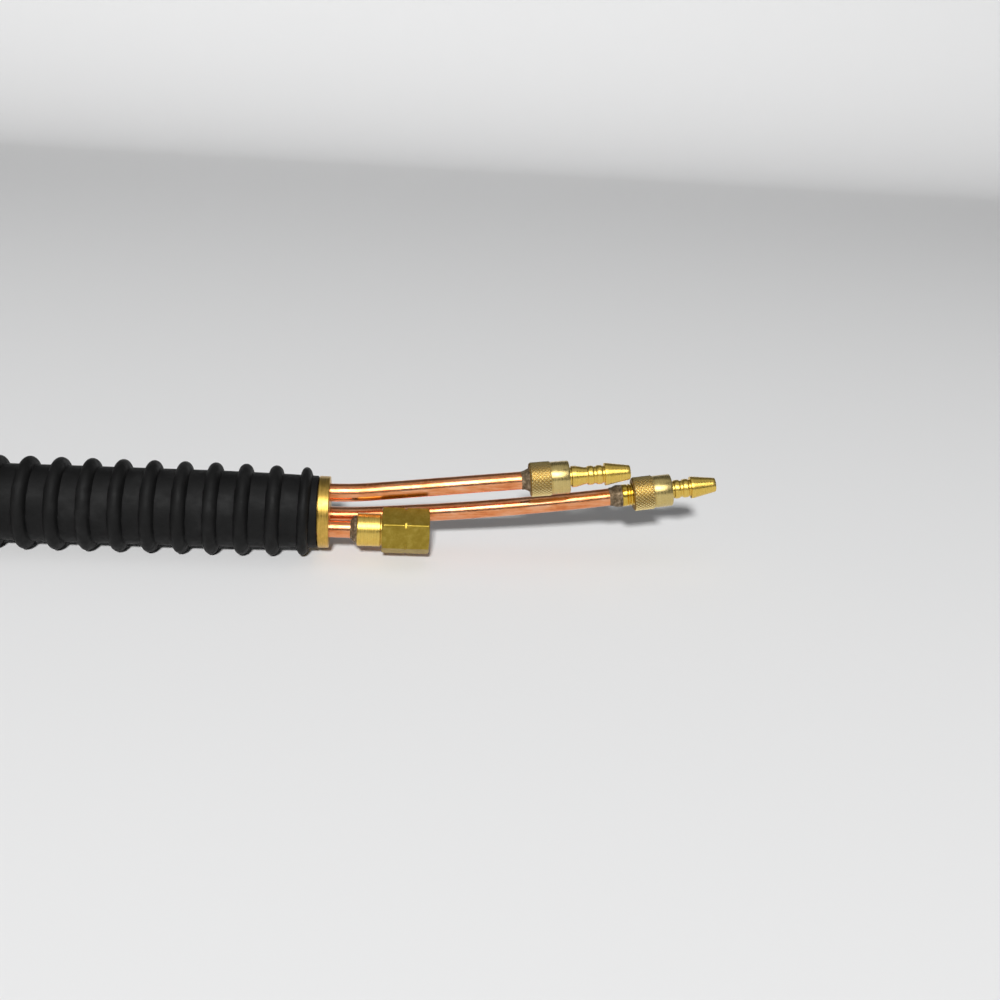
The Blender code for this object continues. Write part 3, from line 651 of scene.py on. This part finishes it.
def knurl_tree():
    """Crossed grooves that leave small pyramids round the axis between two places."""
    tree, given = new_tree("knurl", "Diamonds", "Pitch", "Depth", "Start", "End", "Outside")
    x, radius, angle, _ = around_axis(tree)
    turns = work(tree, "MULTIPLY", work(tree, "DIVIDE", angle, 2 * pi), given["Diamonds"])
    rows = work(tree, "DIVIDE", x, given["Pitch"])
    left = work(tree, "PINGPONG", work(tree, "ADD", turns, rows), 0.5)
    right = work(tree, "PINGPONG", work(tree, "SUBTRACT", turns, rows), 0.5)
    valley = work(tree, "SUBTRACT", 1, work(tree, "MULTIPLY", work(tree, "MINIMUM", left, right), 2.4))
    return carved(tree, given, x, radius, work(tree, "MAXIMUM", valley, 0))


def knurl_brass_painted_shade(name, place):
    """Pale brass tips over grooves that darken with depth: painted shade in the grooves."""
    made, tree, shader = new_finish(name, (0.8, 0.58, 0.2), 0.25, 1.0)
    split = tree.nodes.new("ShaderNodeSeparateXYZ")
    tree.links.new(own_point(tree, place), split.inputs[0])
    y, z = split.outputs[1:]
    square = work(tree, "ADD", work(tree, "MULTIPLY", y, y), work(tree, "MULTIPLY", z, z))
    depth = work(tree, "SUBTRACT", NUT_KNURL_RADIUS, work(tree, "SQRT", square))
    share = work(tree, "DIVIDE", depth, DIAMOND_DEPTH)
    # Colour runs from pale tips down to painted shade at the bottoms of the grooves, set by depth
    tone = ramp(tree, share, (0.15, (1.0, 0.88, 0.5)), (0.5, (0.97, 0.75, 0.3)), (0.9, (0.3, 0.18, 0.05)))
    tree.links.new(tone, shader.inputs["Base Color"])
    tree.links.new(span(tree, share, 0.24, 0.5, 0.2, 0.9), shader.inputs["Roughness"])
    return made


knurl = knurl_tree()
knurl_stride = DIAMOND_PITCH / 8
nut_outline = [(0, NUT_BORE + NUT_EDGE), (0, NUT_KNURL_RADIUS - 1.6 * NUT_EDGE),
               (NUT_EDGE * 0.5, NUT_KNURL_RADIUS - 0.8 * NUT_EDGE)]
nut_outline += [(knurl_stride * k, NUT_KNURL_RADIUS)
                for k in range(3, int(NUT_KNURL_LENGTH / knurl_stride) + 1)]
nut_outline += [(NUT_KNURL_LENGTH, NUT_KNURL_RADIUS - DIAMOND_DEPTH * 0.7),
                (NUT_KNURL_LENGTH + 0.1 * MM, NUT_SMOOTH_RADIUS - 0.1 * MM),
                (NUT_KNURL_LENGTH + 0.35 * MM, NUT_SMOOTH_RADIUS - 0.1 * MM),
                (NUT_KNURL_LENGTH + 0.45 * MM, NUT_SMOOTH_RADIUS),
                (NUT_LENGTH - NUT_EDGE, NUT_SMOOTH_RADIUS),
                (NUT_LENGTH - NUT_EDGE * 0.4, NUT_SMOOTH_RADIUS - NUT_EDGE * 0.4),
                (NUT_LENGTH, NUT_SMOOTH_RADIUS - NUT_EDGE), (NUT_LENGTH, NUT_REAR_HOLE + 0.1 * MM),
                (NUT_LENGTH - 0.1 * MM, NUT_REAR_HOLE), (POCKET_END, NUT_REAR_HOLE),
                (POCKET_END, NUT_POCKET), (POCKET_START, NUT_POCKET), (POCKET_START, NUT_BORE),
                (NUT_EDGE, NUT_BORE)]
for name, place, open_by in (("water_nut", water_place, 0.0), ("gas_nut", gas_place, GAS_NUT_OPEN)):
    here = place @ Matrix.Translation((open_by, 0, 0))
    nut_brass = turned_brass(name + "_brass", here, (0.69, 0.54, 0.22), (0.62, 0.47, 0.17), 0.27, 0.2)
    nut = patterned(name + "_visual", spun(nut_outline, 8 * DIAMONDS_ROUND), knurl,
                    {"Diamonds": float(DIAMONDS_ROUND), "Pitch": DIAMOND_PITCH, "Depth": DIAMOND_DEPTH,
                     "Start": 0.0, "End": NUT_KNURL_LENGTH - 0.05 * MM, "Outside": 5.6 * MM},
                    here, nut_brass, 35)
    nut.data.materials.append(knurl_brass_painted_shade(name + "_knurled", here))
    back_to_nut = here.inverted()
    for face in nut.data.polygons:
        if (back_to_nut @ face.center).x < NUT_KNURL_LENGTH:
            face.material_index = 1
    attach(nut, name)
    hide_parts(name)

# ---------------------------------------------------------------------------------------------------
# Hose tails. Turned brass stems: a collar inside the nut, a bell where they leave it, two low rings and a
# long barb that holds the hose.
BORE, NOSE, COLLAR, NECK, BELL, WAIST, RING, BARB, TIP = (
    1.6 * MM, 2.45 * MM, 4.1 * MM, 3.3 * MM, 3.8 * MM, 3.0 * MM, 3.42 * MM, 4.0 * MM, 2.6 * MM)
NOSE_START, COLLAR_START, COLLAR_END = 6.2 * MM, 9.25 * MM, 10.4 * MM
BELL_START, BELL_END, WAIST_START = 15.0 * MM, 16.3 * MM, 20.1 * MM
RING_PLACES, RING_HALF = (21.8 * MM, 25.0 * MM), 1.2 * MM
BARB_START, BARB_END, TAIL_TIP = 26.75 * MM, 27.6 * MM, 36.1 * MM
tail_outline = [(NOSE_START, BORE), (NOSE_START, NOSE), (COLLAR_START, NOSE), (COLLAR_START, COLLAR),
                (COLLAR_END, COLLAR), (COLLAR_END, NECK), (BELL_START - 0.05 * MM, NECK),
                (BELL_START, BELL - 0.12 * MM), (BELL_START + 0.12 * MM, BELL), (BELL_END, BELL),
                (BELL_END + 0.3 * MM, BELL - 0.03 * MM), (WAIST_START - 0.4 * MM, WAIST + 0.03 * MM),
                (WAIST_START, WAIST)]
for ring_middle in RING_PLACES:
    tail_outline += [(ring_middle + RING_HALF * t, WAIST + (RING - WAIST) * cos(t * pi / 2) ** 0.35)
                     for t in (-1, -0.9, -0.75, -0.5, -0.2, 0.2, 0.5, 0.75, 0.9, 1)]
tail_outline += [(BARB_START, WAIST), (BARB_START + 0.1 * MM, BARB - 0.1 * MM),
                 (BARB_START + 0.2 * MM, BARB), (BARB_END, BARB)]
tail_outline += [(x, BARB + (TIP - BARB) * (x - BARB_END) / (TAIL_TIP - 28 * MM))
                 for x in stepped(28 * MM, TAIL_TIP - 0.4 * MM, MM)]
tail_outline += [(TAIL_TIP - 0.12 * MM, TIP - 0.12 * MM), (TAIL_TIP, TIP - 0.4 * MM), (TAIL_TIP, BORE)]
for name, place in (("water_tail", water_place), ("gas_tail", gas_place)):
    tail_brass = turned_brass(name + "_brass", place, (0.86, 0.6, 0.14), (0.74, 0.5, 0.09), 0.27, 0.15)
    tail = placed(name + "_visual", spun(tail_outline, 112), place, tail_brass, 38)
    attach(tail, name)
    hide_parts(name)

# ---------------------------------------------------------------------------------------------------
# Head cover. Rubber moulded in one piece over the metal core and its neck, so every corner is soft.
# It stops short of the core at both ends, where the gasket and the back cap's ring seal.
HEAD_X, COVER_HALF, COVER_RADIUS, COVER_EDGE = -206 * MM, 14.5 * MM, 12.0 * MM, 1.6 * MM
CORE_ROOM, NECK_ROOM, FLANGE_ROOM = 8.8 * MM, 7.8 * MM, 10.9 * MM
COVER_REAR, FLANGE_FRONT = -184.4 * MM, -192.3 * MM
front_place = along(joints["nozzle_turn"]["pos_m"], joints["nozzle_turn"]["axis"])
rear_place = along(joints["back_cap_turn"]["pos_m"], joints["back_cap_turn"]["axis"])


def softened(mesh, other, voxel, rounds):
    """Joins two shapes into one skin and smooths the corners between them."""
    body = bpy.data.objects.new("skin", mesh)
    helper = bpy.data.objects.new("part", other)
    for obj in (body, helper):
        bpy.context.scene.collection.objects.link(obj)
    join = body.modifiers.new("join", "BOOLEAN")
    join.operation = "UNION"
    join.object = helper
    skin = body.modifiers.new("skin", "REMESH")
    skin.mode = "VOXEL"
    skin.voxel_size = voxel
    soft = body.modifiers.new("soft", "SMOOTH")
    soft.iterations = rounds
    graph = bpy.context.evaluated_depsgraph_get()
    result = bpy.data.meshes.new_from_object(body.evaluated_get(graph))
    for spent in (helper, body):
        bpy.data.objects.remove(spent)
    return result


barrel_outline = [(-COVER_HALF, 0), (-COVER_HALF, COVER_RADIUS - COVER_EDGE)]
for way, turns in ((-1, (30, 60, 90)), (1, (90, 60, 30))):
    barrel_outline += [(way * (COVER_HALF - COVER_EDGE) + way * COVER_EDGE * cos(radians(a)),
                        COVER_RADIUS - COVER_EDGE + COVER_EDGE * sin(radians(a))) for a in turns]
barrel_outline += [(COVER_HALF, COVER_RADIUS - COVER_EDGE), (COVER_HALF, 0)]
barrel = spun(barrel_outline, 64)
barrel.transform(front_place)
neck = spun([(HEAD_X, 0), (HEAD_X, 10.5 * MM), (-195 * MM, 11.4 * MM), (-189 * MM, 12.4 * MM),
             (COVER_REAR - MM, 12.9 * MM), (COVER_REAR, 12.8 * MM), (COVER_REAR, 0)], 64)
core_room = spun(rod(-20 * MM, 20 * MM, CORE_ROOM), 64)
neck_room = spun([(HEAD_X, 0), (HEAD_X, NECK_ROOM), (FLANGE_FRONT, NECK_ROOM), (FLANGE_FRONT, FLANGE_ROOM),
                  (COVER_REAR + 3 * MM, FLANGE_ROOM), (COVER_REAR + 3 * MM, 0)], 64)
cover_mesh = cut(softened(barrel, neck, 0.6 * MM, 6), (core_room, front_place),
                 (neck_room, Matrix.Identity(4)))
cover = placed("head_cover", cover_mesh, Matrix.Identity(4), rubber, 45)
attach(cover, "torch")
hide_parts("head_insulation")

# ---------------------------------------------------------------------------------------------------
# Nozzle. A dry-pressed alumina cup with an unglazed pink skin, screwed on to the collet body. Two rings
# are pressed into its thick end for grip.
NOZZLE_START, NOZZLE_END, NOZZLE_EDGE = 17.9 * MM, 65 * MM, 0.5 * MM
NOZZLE_THICK, NOZZLE_RIM = 9.4 * MM, 7.0 * MM
NOZZLE_GROOVES, GROOVE_HALF, GROOVE_DEPTH = (22 * MM, 26 * MM), 0.7 * MM, 0.5 * MM
SHOULDER_START, SHOULDER_LENGTH, SHOULDER_DROP = 31 * MM, 4 * MM, 1.2 * MM
SCREW_BORE, GAS_BORE, MOUTH_BORE = 5.7 * MM, 6.2 * MM, 5.6 * MM


def pressed_alumina(place):
    """Unglazed alumina: pink, slightly speckled and clouded."""
    made, tree, shader = new_finish("pressed_alumina", (0.72, 0.43, 0.34), 0.55)
    point = own_point(tree, place)
    speckle = grain(tree, point, 0.6 * MM, 5, 0.7)
    cloud = grain(tree, point, 8 * MM, 4)
    tone = ramp(tree, work(tree, "MULTIPLY_ADD", speckle, 0.35, work(tree, "MULTIPLY", cloud, 0.65)),
                (0.35, (0.62, 0.34, 0.26)), (0.5, (0.72, 0.44, 0.35)), (0.65, (0.8, 0.55, 0.45)))
    tree.links.new(tone, shader.inputs["Base Color"])
    tree.links.new(span(tree, speckle, 0.45, 0.65), shader.inputs["Roughness"])
    bump(tree, shader, speckle, 0.06 * MM, 0.6)
    return made


def eased(share):
    """From nought to one, level at both ends."""
    return 3 * share * share - 2 * share ** 3


nozzle_outline = [(NOZZLE_START, SCREW_BORE), (NOZZLE_START, NOZZLE_THICK - NOZZLE_EDGE),
                  (NOZZLE_START + NOZZLE_EDGE * 0.3, NOZZLE_THICK - NOZZLE_EDGE * 0.3),
                  (NOZZLE_START + NOZZLE_EDGE, NOZZLE_THICK)]
for groove in NOZZLE_GROOVES:
    nozzle_outline += [(groove + GROOVE_HALF * t, NOZZLE_THICK - GROOVE_DEPTH * cos(t * pi / 2))
                       for t in (-1, -0.6, -0.2, 0.2, 0.6, 1)]
nozzle_outline += [(SHOULDER_START + SHOULDER_LENGTH * t, NOZZLE_THICK - SHOULDER_DROP * eased(t))
                   for t in (0, 0.25, 0.5, 0.75, 1)]
nozzle_outline += [(NOZZLE_END - NOZZLE_EDGE, NOZZLE_RIM),
                   (NOZZLE_END - NOZZLE_EDGE * 0.3, NOZZLE_RIM - NOZZLE_EDGE * 0.3),
                   (NOZZLE_END, NOZZLE_RIM - NOZZLE_EDGE), (NOZZLE_END, MOUTH_BORE + 0.2 * MM),
                   (NOZZLE_END - 0.3 * MM, MOUTH_BORE), (36 * MM, GAS_BORE), (31.5 * MM, GAS_BORE),
                   (SHOULDER_START, SCREW_BORE)]
alumina = pressed_alumina(front_place)
nozzle = placed("nozzle_visual", spun(nozzle_outline, 112), front_place, alumina)
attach(nozzle, "nozzle")
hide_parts("nozzle")

# ---------------------------------------------------------------------------------------------------
# Electrode. A centreless-ground tungsten rod with its end sharpened on a wheel.
ELECTRODE_RADIUS, ELECTRODE_TIP, ELECTRODE_END = 1.2 * MM, 73 * MM, -102 * MM


def ground_tungsten(place):
    """Grey ground metal with fine lines round it."""
    made, tree, shader = new_finish("ground_tungsten", (0.46, 0.46, 0.48), 0.28, 1.0)
    lines = grain(tree, own_point(tree, place, (1, 0.05, 0.05)), 0.15 * MM, 3, 0.8)
    point = own_point(tree, place)
    tone = ramp(tree, grain(tree, point, 3 * MM), (0.3, (0.36, 0.36, 0.38)), (0.7, (0.55, 0.55, 0.57)))
    tree.links.new(tone, shader.inputs["Base Color"])
    tree.links.new(span(tree, lines, 0.22, 0.38), shader.inputs["Roughness"])
    bump(tree, shader, lines, 0.01 * MM, 0.6)
    return made


electrode_outline = [(ELECTRODE_END, 0), (ELECTRODE_END, ELECTRODE_RADIUS - 0.1 * MM),
                     (ELECTRODE_END + 0.1 * MM, ELECTRODE_RADIUS), (ELECTRODE_TIP - 5 * MM, ELECTRODE_RADIUS),
                     (ELECTRODE_TIP - 0.1 * MM, 0.12 * MM), (ELECTRODE_TIP, 0.06 * MM), (ELECTRODE_TIP, 0)]
tungsten = ground_tungsten(front_place)
electrode = placed("electrode_visual", spun(electrode_outline, 40), front_place, tungsten, 25)
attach(electrode, "electrode")
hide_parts("electrode")

# ---------------------------------------------------------------------------------------------------
# Back cap. Moulded black phenolic, long enough for a full electrode, with flutes near the head for the
# fingers and a rounded end.
FLANGE, CAP_SHOULDER, CAP_END, CAP_BORE, CAP_WALL = 8.6 * MM, 16.6 * MM, 110 * MM, 2.2 * MM, 3.5 * MM
CAP_SCREW, SCREW_END, RING_SEAT = 5.7 * MM, 14.2 * MM, 5.2 * MM
TAPER_START, TAPER_BLEND, TAPER_RADIUS, CAP_TIP, DOME = 34.5 * MM, 3.5 * MM, 7.2 * MM, 5.5 * MM, 5 * MM
FLUTES, FLUTE_DEPTH, FLUTES_START, FLUTES_END = 16, 0.7 * MM, 18.5 * MM, 30.5 * MM


def flute_tree():
    """Rounded grooves along the outside, fading out at both ends of their band."""
    tree, given = new_tree("flutes", "Count", "Depth", "Start", "End", "Outside")
    x, radius, angle, _ = around_axis(tree)
    wave = work(tree, "MAXIMUM", work(tree, "COSINE", work(tree, "MULTIPLY", angle, given["Count"])), 0)
    share = work(tree, "DIVIDE", work(tree, "SUBTRACT", x, given["Start"]),
                 work(tree, "SUBTRACT", given["End"], given["Start"]))
    fade = work(tree, "SINE", work(tree, "MULTIPLY", share, pi))
    fade = work(tree, "POWER", work(tree, "MAXIMUM", fade, 0), 0.3)
    return carved(tree, given, x, radius, work(tree, "MULTIPLY", wave, fade))


def moulded_phenolic(name, dark, light, roughness):
    """Hard phenolic moulding with a low gloss and faint flow marks."""
    made, tree, shader = new_finish(name, dark, roughness)
    point = own_point(tree)
    cloud = grain(tree, point, 6 * MM, 5)
    tree.links.new(ramp(tree, cloud, (0.35, dark), (0.7, light)), shader.inputs["Base Color"])
    sheen = span(tree, grain(tree, point, 1.5 * MM), roughness - 0.06, roughness + 0.1)
    tree.links.new(sheen, shader.inputs["Roughness"])
    bump(tree, shader, grain(tree, point, 0.5 * MM, 4, 0.7), 0.02 * MM, 0.5)
    return made


back_outline = [(7.8 * MM, CAP_BORE), (7.8 * MM, CAP_SCREW - 0.2 * MM), (8 * MM, CAP_SCREW)]
back_outline += [(x, CAP_SCREW) for x in stepped(8.2 * MM, SCREW_END, 0.1 * MM)]
back_outline += [(SCREW_END + 0.4 * MM, RING_SEAT), (CAP_SHOULDER, RING_SEAT),
                 (CAP_SHOULDER, FLANGE - 0.5 * MM), (CAP_SHOULDER + 0.15 * MM, FLANGE - 0.15 * MM),
                 (CAP_SHOULDER + 0.5 * MM, FLANGE)]
back_outline += [(x, FLANGE) for x in stepped(CAP_SHOULDER + 0.8 * MM, FLUTES_END + 0.5 * MM, 0.4 * MM)]
back_outline += [(TAPER_START - TAPER_BLEND * (1 - t), FLANGE - (FLANGE - TAPER_RADIUS) * eased(t))
                 for t in (0.25, 0.5, 0.75, 1)]
back_outline += [(x, TAPER_RADIUS + (CAP_TIP - TAPER_RADIUS) * (x - TAPER_START)
                  / (CAP_END - DOME - TAPER_START))
                 for x in stepped(38 * MM, CAP_END - DOME, 4 * MM)]
back_outline += [(CAP_END - DOME + DOME * sin(radians(a)), CAP_TIP * cos(radians(a)))
                 for a in range(10, 90, 10)]
back_outline += [(CAP_END, 0), (CAP_END - CAP_WALL, 0), (CAP_END - CAP_WALL, CAP_BORE)]
black_phenolic = moulded_phenolic("black_phenolic", (0.012, 0.012, 0.012), (0.024, 0.024, 0.024), 0.32)
back_cap = patterned("back_cap_visual", spun(back_outline, 128), flute_tree(),
                     {"Count": float(FLUTES), "Depth": FLUTE_DEPTH, "Start": FLUTES_START,
                      "End": FLUTES_END, "Outside": 8 * MM}, rear_place, black_phenolic, 45)
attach(back_cap, "back_cap")
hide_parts("back_cap")

# ---------------------------------------------------------------------------------------------------
# Pieces that keep their plain turned shape: the stiff tube and the spacer inside the grip, the head's
# core and collets, the seals, and the thrust rings in the nuts.


def sealing_rubber(name, colour, roughness):
    """Smooth moulded ring: rubber or white gasket, with slight clouding."""
    made, tree, shader = new_finish(name, colour, roughness)
    point = own_point(tree)
    pale = tuple(min(1, c * 1.25 + 0.004) for c in colour)
    tone = ramp(tree, grain(tree, point, 1.5 * MM), (0.35, colour), (0.7, pale))
    tree.links.new(tone, shader.inputs["Base Color"])
    sheen = span(tree, grain(tree, point, 0.6 * MM), roughness - 0.08, roughness + 0.1)
    tree.links.new(sheen, shader.inputs["Roughness"])
    bump(tree, shader, grain(tree, point, 0.3 * MM), 0.015 * MM, 0.5)
    return made


inner_finishes = (
    (moulded_phenolic("brown_phenolic", (0.06, 0.028, 0.014), (0.12, 0.06, 0.03), 0.45),
     ("handle_tube", "tube_spacer")),
    (drawn_copper("core_copper", 1.3),
     ("head_core", "collet_body", "collet")),
    (turned_brass("ring_bronze", Matrix.Identity(4), (0.6, 0.36, 0.17), (0.4, 0.22, 0.1), 0.33),
     ("water_nut_thrust_ring", "gas_nut_thrust_ring")),
    (sealing_rubber("seal_black", (0.02, 0.02, 0.02), 0.5),
     ("water_tail_seal", "gas_tail_seal", "back_cap_o_ring")),
    (sealing_rubber("gasket_white", (0.75, 0.74, 0.7), 0.45),
     ("cup_gasket",)))
for finish, nodes in inner_finishes:
    for node in nodes:
        for slot in frame["nodes"][node].material_slots:
            slot.material = finish

# ---------------------------------------------------------------------------------------------------
# Studio. A pale paper sweep that rises a little way behind the torch. One far lamp, low in front, lights
# it and casts its shadows; a wide box and a bright core in front show in the metal only, and a weak box
# overhead, another behind and a dim surround fill the rest.
FLOOR_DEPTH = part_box("grip_sleeve")[0].z
SWEEP_HALF, SWEEP_NEAR, SWEEP_FLAT, SWEEP_BEND, SWEEP_TOP = 3.0, -2.0, 1.3, 0.3, 0.5


def sweep_mesh():
    """Floor that curves up into a backdrop."""
    line = [(SWEEP_NEAR, 0.0)] + [(SWEEP_FLAT + SWEEP_BEND * sin(a), SWEEP_BEND * (1 - cos(a)))
                                  for a in (pi / 2 * k / 16 for k in range(17))]
    line.append((SWEEP_FLAT + SWEEP_BEND, SWEEP_TOP))
    shape = bmesh.new()
    rows = [[shape.verts.new((x, y, FLOOR_DEPTH + z)) for x in (-SWEEP_HALF, SWEEP_HALF)] for y, z in line]
    for (a, b), (c, d) in zip(rows, rows[1:]):
        shape.faces.new((a, b, d, c))
    mesh = bpy.data.meshes.new("sweep")
    shape.to_mesh(mesh)
    shape.free()
    return mesh


paper, _, paper_shader = new_finish("studio_paper", (0.74, 0.74, 0.74), 0.9)
paper_shader.inputs["Specular IOR Level"].default_value = 0.2
sweep = placed("studio_sweep", sweep_mesh(), Matrix.Identity(4), paper)

# The view: from the near side and a little above, close by, with a long lens and a slight roll
VIEW_AZIMUTH, VIEW_ELEVATION, VIEW_ROLL = radians(-5.53), radians(20), radians(3.82)
VIEW_TARGET, VIEW_DISTANCE, VIEW_FOCUS = Vector((0.06026, 0, 0.00668)), 0.46472, 1.3
back = Vector((sin(VIEW_AZIMUTH) * cos(VIEW_ELEVATION), -cos(VIEW_AZIMUTH) * cos(VIEW_ELEVATION),
               sin(VIEW_ELEVATION)))
across = Vector((cos(VIEW_AZIMUTH), sin(VIEW_AZIMUTH), 0))
above = back.cross(across)
right = cos(VIEW_ROLL) * across + sin(VIEW_ROLL) * above
upward = cos(VIEW_ROLL) * above - sin(VIEW_ROLL) * across
lens = bpy.data.cameras.new("view")
lens.sensor_width = 36
lens.lens = VIEW_FOCUS * lens.sensor_width
lens.clip_start = 0.01
camera = bpy.data.objects.new("view", lens)
camera.matrix_world = (Matrix.Translation(VIEW_TARGET + VIEW_DISTANCE * back)
                       @ Matrix((right, upward, back)).transposed().to_4x4())
bpy.context.scene.collection.objects.link(camera)
bpy.context.scene.camera = camera


def soft_light(name, place, aim, width, height, power):
    """A rectangular softbox at a place, turned to its aim."""
    lamp = bpy.data.lights.new(name, "AREA")
    lamp.shape = "RECTANGLE"
    lamp.size, lamp.size_y, lamp.energy = width, height, power
    obj = bpy.data.objects.new(name, lamp)
    obj.location = place
    obj.rotation_euler = (Vector(aim) - Vector(place)).to_track_quat("-Z", "Y").to_euler()
    bpy.context.scene.collection.objects.link(obj)
    return obj


centre = (0.05, 0, 0)
front_box = soft_light("front_box", (0.0, -0.82, 0.82), centre, 1.3, 0.75, 11.0)
bright_core = soft_light("bright_core", (0.05, -0.68, 0.7), centre, 0.5, 0.2, 1.2)
front_box.visible_diffuse = bright_core.visible_diffuse = False
soft_light("upper_box", (0.1, -0.05, 1.15), centre, 1.3, 0.8, 1.2)
back_box = soft_light("back_box", (0.2, 1.0, 0.75), (0.1, 0.5, 0), 1.2, 0.4, 0.3)
low_lamp = soft_light("low_lamp", (-0.25, -3.3, 1.88), centre, 0.3, 0.3, 222)
back_box.visible_glossy = low_lamp.visible_glossy = False
surround = bpy.data.worlds.new("surround")
surround.use_nodes = True
surround.node_tree.nodes["Background"].inputs["Color"].default_value = (0.95, 0.97, 1.0, 1)
surround.node_tree.nodes["Background"].inputs["Strength"].default_value = 0.12
bpy.context.scene.world = surround
bpy.context.scene.view_settings.view_transform = "Standard"
